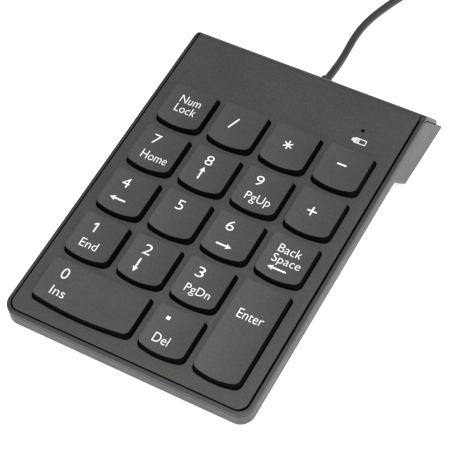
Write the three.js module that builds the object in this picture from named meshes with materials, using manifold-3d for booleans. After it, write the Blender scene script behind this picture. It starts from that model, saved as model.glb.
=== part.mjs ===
// Numeric keypad: a wired pad of 18 rubber-dome keys on a housing with a full-width rear foot bar.
// Millimetres, +Z up, +Y to the rear.
//
// The housing and its contents are drawn in the plate frame: X across, Y to the rear, Z out of the
// face panel with Z = 0 on the panel's top. One group then tilts them onto their feet. The cable is
// drawn in the part's own frame, on the surface that the keypad stands on.

import * as THREE from 'three';
import { mergeVertices } from 'three/addons/utils/BufferGeometryUtils.js';
import Module from 'manifold-3d';

const wasm = await Module();
wasm.setup();

// ---------------------------------------------------------------- driving dimensions

const TILT = THREE.MathUtils.degToRad(6);

// Key grid
const PITCH = 19;
const MIDDLE_COLUMN = 1.5;
const STEM_Y = 0.7; // a key's middle lies this far behind its grid point

// Keycap outline about its grid point, at its top and at its skirt
const CAP_TOP = { half: 7.7, rear: 8.6, front: -7.2, sag: 1.3, rearRadius: 1.1, frontRadius: 1.5 };
const CAP_SKIRT = { half: 8.05, rear: 8.85, front: -7.5, sag: 1.3, rearRadius: 1.2, frontRadius: 1.6 };
const OPENING = { half: 8.4, rear: 9.2, front: -7.85, sag: 1.3, rearRadius: 1.4, frontRadius: 1.8 };
const CAP_TOP_Z = 2.55;
const CAP_SKIRT_Z = -0.6;
const CAP_ROOF = 1.3;
const CAP_WALL = 1.1;
const CAP_EDGE = 0.25; // height and width of the softened top edge
const STEM_RADIUS = 2.8;
const STEM_END_Z = -2;
const OVERLAP = 0.2; // how far a joined piece runs into the body that it joins

// Housing, half widths and depths
const BODY_HALF = 43;
const BODY_FRONT = -13.85;
const BODY_RADIUS = 4.8;
const PANEL_HALF = 41.1;
const PANEL_FRONT = -12.2;
const PANEL_RADIUS = 3.3;
const PANEL_THICKNESS = 1.4; // the apron's too
const RIM_INNER_HALF = 41.6;
const RIM_INNER_FRONT = -12.65;
const RIM_INNER_RADIUS = 3.7;
const RIM_TOP_Z = -0.2;
const RIM_ROUNDING = [[0.3, -0.32], [0, -0.75]]; // inset and height of the outer edge's corners
const RIM_WEB = { half: 42.2, front: -13.05, radius: 4, z: -2.6 };
const RIM_WINDOW = { half: 40, front: -11.1, radius: 2.5 };
const RIM_LEDGE_Z = -1.8;
const PARTING_Z = -1.3;
const SEAM = 0.3;
const CASE_WALL = 1.6;
const CASE_BOTTOM_Z = -7;
const CASE_FLOOR_Z = -5.8;
const CASE_EDGE = 1.5; // rounding along the underside's front
const HOLLOW_EDGE = 0.4;
const HOLLOW_RADIUS = 3.2;
const RABBET = { half: 42.5, inset: 0.5, radius: 4.3, z: -2.9 }; // seat of the rim's web

// Rear roll of the face panel and the apron that slopes down from it
const ROLL = { y: 106.7, radius: 3.5 };
const APRON_SLOPE = THREE.MathUtils.degToRad(35);
const APRON_END_Z = -12.3;

// Rear foot bar, as corners of the side profile
const BAR_FRONT_TOP = [84.5, CASE_BOTTOM_Z];
const BAR_FRONT_BOTTOM = [92.6, -18.1];
const BAR_DEPTH = 29;
const BAR_TOP_REAR = [116.2, -13.2];
const BAR_FLOOR = 1.3;
const BAR_WALL_SHARE = 0.72; // of the bar's floor, how far its front wall moves in
const BAR_EDGE = { along: 0.7, up: 0.5, in: 0.25 }; // shares of the edge rounding at the bar's corners
const REAR_FOOT_HEIGHT = 0.5;
const FRONT_FOOT = { x: 33, y: -3.5, radius: 4 };
const REAR_FOOT = { x: 24, half: 7, y: [103, 111], radius: 2 };
const FOOT_GAP = 0.05;

// Layers under the keys, each from its underside to its top
const STACK = { half: 36.4, front: -6.8, rear: 86, radius: 2 };
const LAYER = {
  guide: [-3.9, -3.1],
  domes: [-4.3, -4.0],
  upperFilm: [-4.6, -4.4],
  spacer: [-4.85, -4.65],
  lowerFilm: [-5.1, -4.9],
  backing: [-5.65, -5.15],
  board: [-6.75, -5.15],
};
const TURRET = { outer: 4.9, inner: 4.2, innerTop: -1.9, bore: 3, top: -1.1 };
const DOME = {
  base: 3.8, shoulder: 3.2, shoulderZ: -3.1, crown: 1.9, crownZ: -2.25, topZ: -2.1, wall: 0.5,
};
const CONTACT_HOLE = 2;

// Stabiliser bars under the two long keys
const WIRE = 0.4; // wire radius
const BAR_OFFSET = 5.8; // bar from the key's middle
const BAR_Z = -2.3;
const BAR_HALF = 11.5;
const ARM_REACH = 7.5;
const ARM_END_Z = 0.2;
const ARM_FOOT = 1.6; // bent end that sits in the keycap's clip
const CLIP = { shift: 0.5, half: 0.4, y: [-2, 1.2], drop: 1, slotY: [-1.3, 0.6], slotHalf: 0.6 };
const HOOK = { x: 7, half: 0.8, y: [-0.7, 0.75], z: [-3.5, -1.55], slotY: [-2, 0.45], slotHalf: 0.45 };

// Electronics in the rear bar
const BOARD = { x: [-28, 29.5], y: [89.5, 108] };
const INDICATOR = [26.95, 94.3];
const TAIL = { half: 7, y: [85, 95.5] };
const CLAMP = { half: 9.5, y: [90.8, 94], z: [-4.85, -3.1], screwX: 8.4 };
const BOARD_SCREWS = [[-24, 104], [24, 104]];
const CHIP = { middle: [-14, 101.5], size: 7, height: 1 };

// Screws that close the case, entering from below
const FRONT_SCREWS = [[-19, -9.9], [19, -9.9]];
const SIDE_SCREWS = [[-39.3, 38], [39.3, 38]];
const REAR_SCREWS = [[-34.5, 101], [34.5, 101]];
const SHORT_SCREW = { head: 1.6, headHeight: 0.9, shank: 0.8, length: 3.4 };
const LONG_SCREW = { head: 2.2, headHeight: 1.4, shank: 1, length: 5.6 };
const SMALL_SCREW = { head: 1.5, headHeight: 0.9, shank: 0.75, length: 3.2 };
const SHORT_SCREW_Z = -5.85;
const LONG_SCREW_Z = -9.05;

// Bosses of the face panel that the screws turn into, and the pads and posts of the case under them
const PANEL_BOSS = { front: 1.8, side: 1.6, rear: 2.5, endZ: -4.6, rearEndZ: -7.7, topZ: -1 };
const PANEL_BORE = { radius: 0.9, rearRadius: 1.1, topZ: -1.9, rearTopZ: -2.6 };
const RIM_RELIEF = { radius: 2.3, z: [-4, -1.5] };
const CASE_PAD = { radius: 2.2, z: [-6.2, -4.8], well: 1.75, wellTopZ: -5.8, bore: 0.95 };
const CASE_POST = { radius: 3.7, topZ: -7.9, well: 2.4, wellTopZ: -9, bore: 1.2, lift: 0.6 };
const BOARD_POST = { radius: 2.4, bore: 0.85, gap: 0.05 };

// Cable
const CABLE_RADIUS = 1.4;
const CABLE_SIDES = 8;
const EXIT_HEIGHT = 4.4;
const GROMMET = { sleeve: 2, flange: 2.5, bore: 1.5, hole: 2.15 };
const CLEARANCE = 0.3;
const COIL = { x: 28, y: 149.8, radii: [18.2, 9.8], layers: 4, lift: 0.7 };
const PLUG = {
  length: 19, width: 12.6, height: 7.6, neck: 2.6, neckLength: 5,
  shellLength: 14.5, shellWidth: 12, shellHeight: 4.5, shellWall: 0.3,
};
const TONGUE = { half: 5.5, z: [-0.1, 1.85], front: 0.4, rear: 0.65 };
const TIE = { strap: 0.55, gap: 0.1, inner: 0.75, half: 2.6 };

// The cable's run on the surface from the exit to the coil, and from the coil to the plug
const LEAD_ROUTE = [
  [0, 67.3, 4.4], [0, 70.5, 4.2], [-0.3, 75, 3.2], [-0.9, 80.5, 1.9], [-1.5, 86, 1.5], [-2.1, 92, 1.45],
  [-2.1, 98, 1.45], [-1.2, 104, 1.45], [0.4, 110, 1.45], [2.4, 116, 1.45], [4.7, 122, 1.45],
  [6.8, 128, 1.45], [8.3, 133.5, 1.5], [9, 138, 1.6],
];
const TAIL_ROUTE = [
  [44.5, 165.4, 7.1], [48.8, 162.2, 5.6], [52.2, 158, 4.5], [54.3, 153, 3.9], [55, 148, 3.8],
  [55, 144.5, 3.8],
];
const PLUG_START = [55, 144.5, 3.8];

const KEYS = [
  { name: 'key_0', column: 0, row: 0, wide: 2, tall: 1 },
  { name: 'key_decimal', column: 2, row: 0, wide: 1, tall: 1 },
  { name: 'key_1', column: 0, row: 1, wide: 1, tall: 1 },
  { name: 'key_2', column: 1, row: 1, wide: 1, tall: 1 },
  { name: 'key_3', column: 2, row: 1, wide: 1, tall: 1 },
  { name: 'key_enter', column: 3, row: 0, wide: 1, tall: 2 },
  { name: 'key_4', column: 0, row: 2, wide: 1, tall: 1 },
  { name: 'key_5', column: 1, row: 2, wide: 1, tall: 1 },
  { name: 'key_6', column: 2, row: 2, wide: 1, tall: 1 },
  { name: 'key_backspace', column: 3, row: 2, wide: 1, tall: 1 },
  { name: 'key_7', column: 0, row: 3, wide: 1, tall: 1 },
  { name: 'key_8', column: 1, row: 3, wide: 1, tall: 1 },
  { name: 'key_9', column: 2, row: 3, wide: 1, tall: 1 },
  { name: 'key_add', column: 3, row: 3, wide: 1, tall: 1 },
  { name: 'key_num_lock', column: 0, row: 4, wide: 1, tall: 1 },
  { name: 'key_divide', column: 1, row: 4, wide: 1, tall: 1 },
  { name: 'key_multiply', column: 2, row: 4, wide: 1, tall: 1 },
  { name: 'key_subtract', column: 3, row: 4, wide: 1, tall: 1 },
];

// ---------------------------------------------------------------- materials

const material = (color, roughness, metalness = 0) =>
  new THREE.MeshStandardMaterial({ color, roughness, metalness });

const MATERIAL = {
  keycap: material(0x4a4a48, 0.55),
  housing: material(0x454544, 0.6),
  case: material(0x5c5c5a, 0.6),
  guide: material(0x1c1c1e, 0.5),
  rubber: material(0x1a1a1a, 0.85),
  silicone: material(0xb9c0c2, 0.6),
  film: material(0xc9d2cf, 0.35),
  steel: material(0x9a9c9e, 0.35, 1),
  board: material(0x1f5a36, 0.5),
  chip: material(0x151516, 0.45),
  clear: material(0x2a2a2c, 0.15),
  cable: material(0x2b2b2c, 0.6),
  plug: material(0x262627, 0.55),
  tongue: material(0xe8e8e6, 0.5),
};

// ---------------------------------------------------------------- shape helpers

const at = (x, y) => new THREE.Vector2(x, y);

// Points along an arc, from one angle to another in degrees, both ends included.
function arc(x, y, radius, from, to, steps) {
  return Array.from({ length: steps + 1 }, (_, i) => {
    const angle = THREE.MathUtils.degToRad(from + ((to - from) * i) / steps);
    return at(x + radius * Math.cos(angle), y + radius * Math.sin(angle));
  });
}

function circle(x, y, radius, steps = 10) {
  return arc(x, y, radius, 0, 360 - 360 / steps, steps - 1);
}

function roundedBox(x0, x1, y0, y1, radius, steps = 3) {
  return [
    ...arc(x1 - radius, y1 - radius, radius, 0, 90, steps),
    ...arc(x0 + radius, y1 - radius, radius, 90, 180, steps),
    ...arc(x0 + radius, y0 + radius, radius, 180, 270, steps),
    ...arc(x1 - radius, y0 + radius, radius, 270, 360, steps),
  ];
}

// Outline with rounded front corners and a square rear, the plan of the housing's parts.
function trayOutline(half, front, rear, radius, steps = 5) {
  return [
    at(half, rear),
    at(-half, rear),
    ...arc(-half + radius, front + radius, radius, 180, 270, steps),
    ...arc(half - radius, front + radius, radius, 270, 360, steps),
  ];
}

// Outline of a key: straight rear and sides, and a front edge that bows towards the user.
function keyOutline(key, size, inset = 0) {
  const x0 = (key.column - MIDDLE_COLUMN) * PITCH - size.half + inset;
  const x1 = (key.column + key.wide - 1 - MIDDLE_COLUMN) * PITCH + size.half - inset;
  const rear = (key.row + key.tall - 1) * PITCH + size.rear - inset;
  const front = key.row * PITCH + size.front + inset;
  const rearRadius = Math.max(size.rearRadius - inset, 0.4);
  const frontRadius = Math.max(size.frontRadius - inset, 0.4);
  const middle = (x0 + x1) / 2;
  const half = (x1 - x0) / 2;
  const bow = (x) => front + size.sag * ((x - middle) / half) ** 2;
  const slope = (2 * size.sag * (half - frontRadius)) / half ** 2;
  const turn = 90 - THREE.MathUtils.radToDeg(Math.atan(slope));
  const sweep = THREE.MathUtils.degToRad(turn);
  const endX = x0 + frontRadius - frontRadius * Math.cos(sweep);
  const centreY = bow(endX) + frontRadius * Math.sin(sweep);
  const bowSteps = 4;
  const bowPoints = Array.from({ length: bowSteps - 1 }, (_, i) => {
    const x = endX + ((2 * (middle - endX)) * (i + 1)) / bowSteps;
    return at(x, bow(x));
  });
  return [
    ...arc(x1 - rearRadius, rear - rearRadius, rearRadius, 0, 90, 2),
    ...arc(x0 + rearRadius, rear - rearRadius, rearRadius, 90, 180, 2),
    ...arc(x0 + frontRadius, centreY, frontRadius, 180, 180 + turn, 2),
    ...bowPoints,
    ...arc(x1 - frontRadius, centreY, frontRadius, 360 - turn, 360, 2),
  ];
}

// Closed solid through outlines of equal length, given from the lowest to the highest.
function loft(rings) {
  const count = rings[0].points.length;
  const last = (rings.length - 1) * count;
  const index = [];
  for (let ring = 0; ring + 1 < rings.length; ring++) {
    for (let i = 0; i < count; i++) {
      const a = ring * count + i;
      const b = ring * count + ((i + 1) % count);
      index.push(a, b, b + count, a, b + count, a + count);
    }
  }
  for (const [a, b, c] of THREE.ShapeUtils.triangulateShape(rings[0].points, [])) {
    index.push(c, b, a, last + a, last + b, last + c);
  }
  const positions = rings.flatMap(({ points, z }) => points.flatMap((p) => [p.x, p.y, z]));
  const geometry = new THREE.BufferGeometry();
  geometry.setAttribute('position', new THREE.Float32BufferAttribute(positions, 3));
  geometry.setIndex(index);
  return geometry;
}

const around = (middle, half) => [middle - half, middle + half];
const shifted = (start, span) => span.map((value) => start + value);
const prism = (points, [low, high]) => loft([{ points, z: low }, { points, z: high }]);
const rod = (x, y, radius, span, steps) => prism(circle(x, y, radius, steps), span);
const block = ([x0, x1], [y0, y1], span) => prism([at(x1, y1), at(x0, y1), at(x0, y0), at(x1, y0)], span);

// Solid of a side profile given as [y, z] points or vectors, centred across the part.
function profilePrism(points, half) {
  const shape = new THREE.Shape(points.map((p) => (Array.isArray(p) ? at(...p) : p)));
  const geometry = new THREE.ExtrudeGeometry(shape, { depth: 2 * half, bevelEnabled: false });
  const turn = new THREE.Matrix4().makeBasis(
    new THREE.Vector3(0, 1, 0), new THREE.Vector3(0, 0, 1), new THREE.Vector3(1, 0, 0));
  return geometry.applyMatrix4(turn).translate(-half, 0, 0);
}

// Solid of revolution about a line along Z. The profile is [radius, z] points that start and end on
// the axis or close on themselves.
function turned(profile, x, y, steps = 8) {
  const lathe = new THREE.LatheGeometry(profile.map(([r, z]) => at(r, z)), steps);
  return lathe.rotateX(Math.PI / 2).translate(x, y, 0);
}

// Round wire or cable along a smooth curve through the given points.
function cord(route, radius, sides, steps) {
  const path = new THREE.CatmullRomCurve3(route.map((p) => new THREE.Vector3(...p)), false, 'centripetal');
  const section = new THREE.Shape(circle(0, 0, radius, sides));
  return new THREE.ExtrudeGeometry(section, { steps, bevelEnabled: false, extrudePath: path });
}

// ---------------------------------------------------------------- cutting and joining

function solid(geometry) {
  const bare = geometry.clone();
  bare.deleteAttribute('normal');
  bare.deleteAttribute('uv');
  const merged = mergeVertices(bare, 1e-4);
  return new wasm.Manifold(new wasm.Mesh({
    numProp: 3,
    vertProperties: Float32Array.from(merged.attributes.position.array),
    triVerts: Uint32Array.from(merged.index.array),
  }));
}

const join = (body, ...pieces) => pieces.reduce((sum, piece) => sum.add(solid(piece)), body);
const cut = (body, ...pieces) => pieces.reduce((rest, piece) => rest.subtract(solid(piece)), body);

function node(name, shape, finish) {
  let geometry = shape;
  if (shape instanceof wasm.Manifold) {
    const { vertProperties, triVerts } = shape.getMesh();
    geometry = new THREE.BufferGeometry();
    geometry.setAttribute('position', new THREE.Float32BufferAttribute(vertProperties, 3));
    geometry.setIndex(new THREE.BufferAttribute(Uint32Array.from(triVerts), 1));
    geometry.computeVertexNormals();
  }
  const mesh = new THREE.Mesh(geometry, finish);
  mesh.name = name;
  return mesh;
}

// ---------------------------------------------------------------- keys

const keyMiddle = (key) => [
  (key.column + (key.wide - 1) / 2 - MIDDLE_COLUMN) * PITCH,
  (key.row + (key.tall - 1) / 2) * PITCH + STEM_Y,
];

const isLong = (key) => key.wide > 1 || key.tall > 1;

// Turns a piece drawn about the origin, bar to the rear, into its place under a long key.
function underKey(geometry, key) {
  const [x, y] = keyMiddle(key);
  return geometry.rotateZ(key.tall > 1 ? -Math.PI / 2 : 0).translate(x, y, 0);
}

// Clips under the roof of a long key, one for each bent foot of its stabiliser bar.
function barClips(key) {
  const y = BAR_OFFSET - ARM_REACH;
  return [-1, 1].map((side) => {
    const middle = side * (BAR_HALF - ARM_FOOT + CLIP.shift);
    const plate = block(
      around(middle, CLIP.half), shifted(y, CLIP.y), [ARM_END_Z - CLIP.drop, CAP_TOP_Z - CAP_ROOF + OVERLAP]);
    const slot = block(around(middle, 1), shifted(y, CLIP.slotY), around(ARM_END_Z, CLIP.slotHalf));
    return cut(solid(underKey(plate, key)), underKey(slot, key));
  });
}

function keycap(key) {
  const roof = CAP_TOP_Z - CAP_ROOF;
  const shell = loft([
    { points: keyOutline(key, CAP_SKIRT), z: CAP_SKIRT_Z },
    { points: keyOutline(key, CAP_TOP), z: CAP_TOP_Z - CAP_EDGE },
    { points: keyOutline(key, CAP_TOP, CAP_EDGE), z: CAP_TOP_Z },
  ]);
  const hollow = loft([
    { points: keyOutline(key, CAP_SKIRT, CAP_WALL), z: CAP_SKIRT_Z - 1 },
    { points: keyOutline(key, CAP_TOP, CAP_WALL), z: roof },
  ]);
  const [x, y] = keyMiddle(key);
  const stem = rod(x, y, STEM_RADIUS, [STEM_END_Z, roof + OVERLAP]);
  let cap = join(cut(solid(shell), hollow), stem);
  if (isLong(key)) {
    for (const clip of barClips(key)) cap = cap.add(clip);
  }
  return node(key.name, cap, MATERIAL.keycap);
}

// Bent wire: a bar that turns in the guide frame's hooks, two arms and two feet in the keycap.
function stabiliserBar(key) {
  const y = BAR_OFFSET - ARM_REACH;
  const route = [
    [-BAR_HALF + ARM_FOOT, y, ARM_END_Z], [-BAR_HALF, y, ARM_END_Z],
    [-BAR_HALF, BAR_OFFSET, BAR_Z], [BAR_HALF, BAR_OFFSET, BAR_Z],
    [BAR_HALF, y, ARM_END_Z], [BAR_HALF - ARM_FOOT, y, ARM_END_Z],
  ];
  const lengths = route.slice(1).map((end, i) => wireBetween(route[i], end));
  const knees = route.slice(1, -1).map((p) => new THREE.SphereGeometry(WIRE, 6, 4).translate(...p));
  const [first, ...others] = [...lengths, ...knees].map((piece) => underKey(piece, key));
  return node(`stabiliser_bar_${key.name.slice(4)}`, join(solid(first), ...others), MATERIAL.steel);
}

function wireBetween(from, to) {
  const line = new THREE.LineCurve3(new THREE.Vector3(...from), new THREE.Vector3(...to));
  const section = new THREE.Shape(circle(0, 0, WIRE, 6));
  return new THREE.ExtrudeGeometry(section, { steps: 1, bevelEnabled: false, extrudePath: line });
}

// ---------------------------------------------------------------- housing

const slopeNormal = [Math.cos(APRON_SLOPE), Math.sin(APRON_SLOPE)];
const slopeStart = [
  ROLL.y + ROLL.radius * slopeNormal[0],
  -ROLL.radius + ROLL.radius * slopeNormal[1],
];
const slopeEnd = [
  slopeStart[0] + (slopeStart[1] - APRON_END_Z) * Math.tan(APRON_SLOPE),
  APRON_END_Z,
];
const underSlope = ([y, z], depth) => [y - depth * slopeNormal[0], z - depth * slopeNormal[1]];
const slopeDegrees = THREE.MathUtils.radToDeg(APRON_SLOPE);

// The surface that the keypad stands on, and the underside of the foot bar, as heights at y.
const deskZ = (y) => BAR_FRONT_BOTTOM[1] - REAR_FOOT_HEIGHT - (y - BAR_FRONT_BOTTOM[0]) * Math.tan(TILT);
const barBottomZ = (y) => deskZ(y) + REAR_FOOT_HEIGHT;
const barRear = BAR_FRONT_BOTTOM[0] + BAR_DEPTH;

function facePanel() {
  const plan = trayOutline(PANEL_HALF, PANEL_FRONT, ROLL.y + 0.1, PANEL_RADIUS);
  const rearRoll = [
    ...arc(ROLL.y, -ROLL.radius, ROLL.radius - PANEL_THICKNESS, 90, slopeDegrees, 3),
    underSlope(slopeEnd, PANEL_THICKNESS),
    slopeEnd,
    ...arc(ROLL.y, -ROLL.radius, ROLL.radius, slopeDegrees, 90, 6),
  ];
  let panel = join(solid(prism(plan, [-PANEL_THICKNESS, 0])), profilePrism(rearRoll, BODY_HALF));
  panel = cut(panel, ...KEYS.map((key) => prism(keyOutline(key, OPENING), [-3, 1])));
  panel = cut(panel, rod(...INDICATOR, 0.7, [-3, 1]));
  const { front, side, rear, endZ, rearEndZ, topZ } = PANEL_BOSS;
  panel = join(panel, ...FRONT_SCREWS.map(([x, y]) => rod(x, y, front, [endZ, topZ])));
  panel = join(panel, ...SIDE_SCREWS.map(([x, y]) => rod(x, y, side, [endZ, topZ])));
  panel = join(panel, ...REAR_SCREWS.map(([x, y]) => rod(x, y, rear, [rearEndZ, topZ])));
  panel = cut(panel, ...[...FRONT_SCREWS, ...SIDE_SCREWS].map(
    ([x, y]) => rod(x, y, PANEL_BORE.radius, [-6, PANEL_BORE.topZ], 8)));
  panel = cut(panel, ...REAR_SCREWS.map(
    ([x, y]) => rod(x, y, PANEL_BORE.rearRadius, [-9, PANEL_BORE.rearTopZ], 8)));
  return node('face_panel', panel, MATERIAL.housing);
}

function rimFrame() {
  const rear = ROLL.y - SEAM;
  const ring = (inset, z) => ({
    points: trayOutline(BODY_HALF - inset, BODY_FRONT + inset, rear, BODY_RADIUS - inset),
    z,
  });
  const [upper, lower] = RIM_ROUNDING;
  const band = loft([ring(0, PARTING_Z), ring(...lower), ring(...upper), ring(0.8, RIM_TOP_Z)]);
  const web = prism(
    trayOutline(RIM_WEB.half, RIM_WEB.front, rear, RIM_WEB.radius), [RIM_WEB.z, PARTING_Z + 0.1]);
  const inside = prism(
    trayOutline(RIM_INNER_HALF, RIM_INNER_FRONT, rear + 1, RIM_INNER_RADIUS), [RIM_LEDGE_Z, 1]);
  const window = prism(trayOutline(RIM_WINDOW.half, RIM_WINDOW.front, rear + 1, RIM_WINDOW.radius), [-4, 0]);
  const bosses = [...FRONT_SCREWS, ...SIDE_SCREWS].map(
    ([x, y]) => rod(x, y, RIM_RELIEF.radius, RIM_RELIEF.z));
  return node('rim_frame', cut(join(solid(band), web), inside, window, ...bosses), MATERIAL.housing);
}

// Side profile of the case, shrunk by a wall on every side but the top.
function caseProfile(wall, floor, barFloor, top) {
  const bottom = CASE_BOTTOM_Z + floor;
  const edge = wall > 0 ? HOLLOW_EDGE : CASE_EDGE;
  const front = BODY_FRONT + wall;
  const onBar = (y, lift = 0) => at(y, barBottomZ(y) + barFloor + lift);
  const barFront = BAR_FRONT_BOTTOM[0] + (wall > 0 ? barFloor * BAR_WALL_SHARE : 0);
  const rear = barRear - wall;
  const rearCorner = at(rear - edge * BAR_EDGE.in, onBar(rear).y + edge * BAR_EDGE.up);
  return [
    at(front, top),
    ...arc(front + edge, bottom + edge, edge, 180, 270, 3),
    at(BAR_FRONT_TOP[0] + wall, bottom),
    onBar(barFront, edge * BAR_EDGE.up),
    onBar(barFront + edge * BAR_EDGE.along),
    onBar(rear - edge * BAR_EDGE.along),
    rearCorner,
    at(BAR_TOP_REAR[0] - wall, BAR_TOP_REAR[1]),
    at(...underSlope(slopeEnd, PANEL_THICKNESS + SEAM + wall)),
    at(...underSlope(slopeStart, PANEL_THICKNESS + SEAM + wall)),
    at(ROLL.y - wall, -PANEL_THICKNESS - SEAM - wall),
    at(ROLL.y - wall, top),
  ];
}

function bottomCase() {
  const outerPlan = prism(trayOutline(BODY_HALF, BODY_FRONT, 130, BODY_RADIUS), [-30, PARTING_Z - SEAM]);
  const innerPlan = prism(
    trayOutline(BODY_HALF - CASE_WALL, BODY_FRONT + CASE_WALL, 130, HOLLOW_RADIUS), [-30, 2]);
  const outer = solid(outerPlan).intersect(solid(profilePrism(caseProfile(0, 0, 0, PARTING_Z - SEAM), 50)));
  const inner = solid(innerPlan).intersect(
    solid(profilePrism(caseProfile(CASE_WALL, CASE_FLOOR_Z - CASE_BOTTOM_Z, BAR_FLOOR, 1), 50)));
  const rabbet = prism(
    trayOutline(RABBET.half, BODY_FRONT + RABBET.inset, ROLL.y + RABBET.inset, RABBET.radius), [RABBET.z, 2]);
  let body = cut(outer.subtract(inner), rabbet);

  const pads = [...FRONT_SCREWS, ...SIDE_SCREWS];
  body = join(body, ...pads.map(([x, y]) => rod(x, y, CASE_PAD.radius, CASE_PAD.z)));
  body = cut(body, ...pads.map(([x, y]) => rod(x, y, CASE_PAD.well, [-8, CASE_PAD.wellTopZ])));
  body = cut(body, ...pads.map(([x, y]) => rod(x, y, CASE_PAD.bore, [-7, -4], 8)));

  const { radius, topZ, well, wellTopZ, bore, lift } = CASE_POST;
  body = join(body, ...REAR_SCREWS.map(([x, y]) => rod(x, y, radius, [barBottomZ(y) + lift, topZ])));
  body = cut(body, ...REAR_SCREWS.map(([x, y]) => rod(x, y, well, [-25, wellTopZ])));
  body = cut(body, ...REAR_SCREWS.map(([x, y]) => rod(x, y, bore, [-10, -7], 8)));

  const boardUnder = LAYER.board[0];
  body = join(body, ...BOARD_SCREWS.map(
    ([x, y]) => rod(x, y, BOARD_POST.radius, [barBottomZ(y) + lift, boardUnder - BOARD_POST.gap])));
  body = cut(body, ...BOARD_SCREWS.map(([x, y]) => rod(x, y, BOARD_POST.bore, [-12, boardUnder + 1], 8)));

  return node('bottom_case', cut(body, cableHole()), MATERIAL.case);
}

// Level bore for the grommet through the sloping rear wall, in the plate frame.
const exitY = (() => {
  const wallAngle = Math.atan2(barRear - BAR_TOP_REAR[0], BAR_TOP_REAR[1] - barBottomZ(barRear));
  const heightAtTop = (BAR_TOP_REAR[1] - deskZ(BAR_TOP_REAR[0])) * Math.cos(TILT);
  return BAR_TOP_REAR[0] + (heightAtTop - EXIT_HEIGHT) * Math.tan(wallAngle);
})();

function levelAt(geometry, y) {
  const z = deskZ(y) + EXIT_HEIGHT / Math.cos(TILT);
  return geometry.rotateX(-TILT).translate(0, y, z);
}

const alongY = (radius, [y0, y1], steps = 10) => rod(0, 0, radius, [-y1, -y0], steps).rotateX(Math.PI / 2);
const cableHole = () => levelAt(alongY(GROMMET.hole, [-5, 8]), exitY);

// Rubber sleeve with a flange inside the wall. The cable meets its outer end.
function grommet() {
  const sleeve = levelAt(alongY(GROMMET.sleeve, [-6, 1.9]), exitY);
  const flange = levelAt(alongY(GROMMET.flange, [-6.4, -4.7]), exitY);
  const bore = levelAt(alongY(GROMMET.bore, [-9, 0.5], 8), exitY);
  return node('cable_grommet', cut(join(solid(sleeve), flange), bore), MATERIAL.rubber);
}

// ---------------------------------------------------------------- layers under the keys

const stackPlan = () => roundedBox(-STACK.half, STACK.half, STACK.front, STACK.rear, STACK.radius, 2);

function guideFrame() {
  const plate = prism(stackPlan(), LAYER.guide);
  const turrets = KEYS.map((key) => rod(...keyMiddle(key), TURRET.outer, [LAYER.guide[0], TURRET.top]));
  const wells = KEYS.map((key) => rod(...keyMiddle(key), TURRET.inner, [-6, TURRET.innerTop]));
  const bores = KEYS.map((key) => rod(...keyMiddle(key), TURRET.bore, [-6, 1]));
  let frame = cut(join(solid(plate), ...turrets), ...wells, ...bores);
  for (const key of KEYS.filter(isLong)) frame = barHooks(frame, key);
  return node('key_guide_frame', frame, MATERIAL.guide);
}

// Hooks, open towards the key's middle, in which a stabiliser bar turns.
function barHooks(frame, key) {
  return [-HOOK.x, HOOK.x].reduce((rest, x) => {
    const hook = block(around(x, HOOK.half), shifted(BAR_OFFSET, HOOK.y), HOOK.z);
    const slot = block(
      around(x, 2 * HOOK.half), shifted(BAR_OFFSET, HOOK.slotY), around(BAR_Z, HOOK.slotHalf));
    return cut(join(rest, underKey(hook, key)), underKey(slot, key));
  }, frame);
}

function domeSheet() {
  const [low, high] = LAYER.domes;
  const { base, shoulder, shoulderZ, crown, crownZ, topZ, wall } = DOME;
  const dome = [[0, low], [base, low], [base, high], [shoulder, shoulderZ], [crown, crownZ], [0, topZ]];
  const hollow = [
    [0, low - 1], [base - wall, low - 1], [base - wall, low], [shoulder - wall, shoulderZ - 0.2],
    [crown - wall, crownZ - wall], [0, crownZ - wall],
  ];
  const domes = KEYS.map((key) => turned(dome, ...keyMiddle(key)));
  const hollows = KEYS.map((key) => turned(hollow, ...keyMiddle(key)));
  const sheet = join(solid(prism(stackPlan(), LAYER.domes)), ...domes);
  return node('dome_sheet', cut(sheet, ...hollows), MATERIAL.silicone);
}

// Rods through the two places where the clamp is screwed down.
const clampY = (CLAMP.y[0] + CLAMP.y[1]) / 2;
const clampRods = (radius, span) => [-1, 1].map((side) => rod(side * CLAMP.screwX, clampY, radius, span, 8));

function lowerFilm() {
  const tail = block([-TAIL.half, TAIL.half], TAIL.y, LAYER.lowerFilm);
  const slots = clampRods(1.2, [-6, -4]);
  const film = join(solid(prism(stackPlan(), LAYER.lowerFilm)), tail);
  return node('membrane_lower_film', cut(film, ...slots), MATERIAL.film);
}

function spacerFilm() {
  const holes = KEYS.map((key) => rod(...keyMiddle(key), CONTACT_HOLE, [-6, -4], 8));
  return node('membrane_spacer', cut(solid(prism(stackPlan(), LAYER.spacer)), ...holes), MATERIAL.film);
}

// ---------------------------------------------------------------- electronics

// Small screw with its head's underside at z, shank pointing up (1) or down (-1).
function screw(name, [x, y], z, direction, { head, headHeight, shank, length }) {
  const headSpan = [z, z - direction * headHeight].sort((a, b) => a - b);
  const shankSpan = [z - direction * 0.1, z + direction * length].sort((a, b) => a - b);
  const recess = [z - direction * headHeight * 0.5, z - direction * (headHeight + 1)].sort((a, b) => a - b);
  const body = join(solid(rod(x, y, head, headSpan)), rod(x, y, shank, shankSpan, 6));
  return node(name, cut(body, rod(x, y, head * 0.5, recess, 4)), MATERIAL.steel);
}

function controllerBoard() {
  const holes = [...BOARD_SCREWS.map(([x, y]) => rod(x, y, 1, [-8, -4], 8)), ...clampRods(0.8, [-8, -4])];
  const board = solid(block(BOARD.x, BOARD.y, LAYER.board));
  return node('controller_board', cut(board, ...holes), MATERIAL.board);
}

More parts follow.
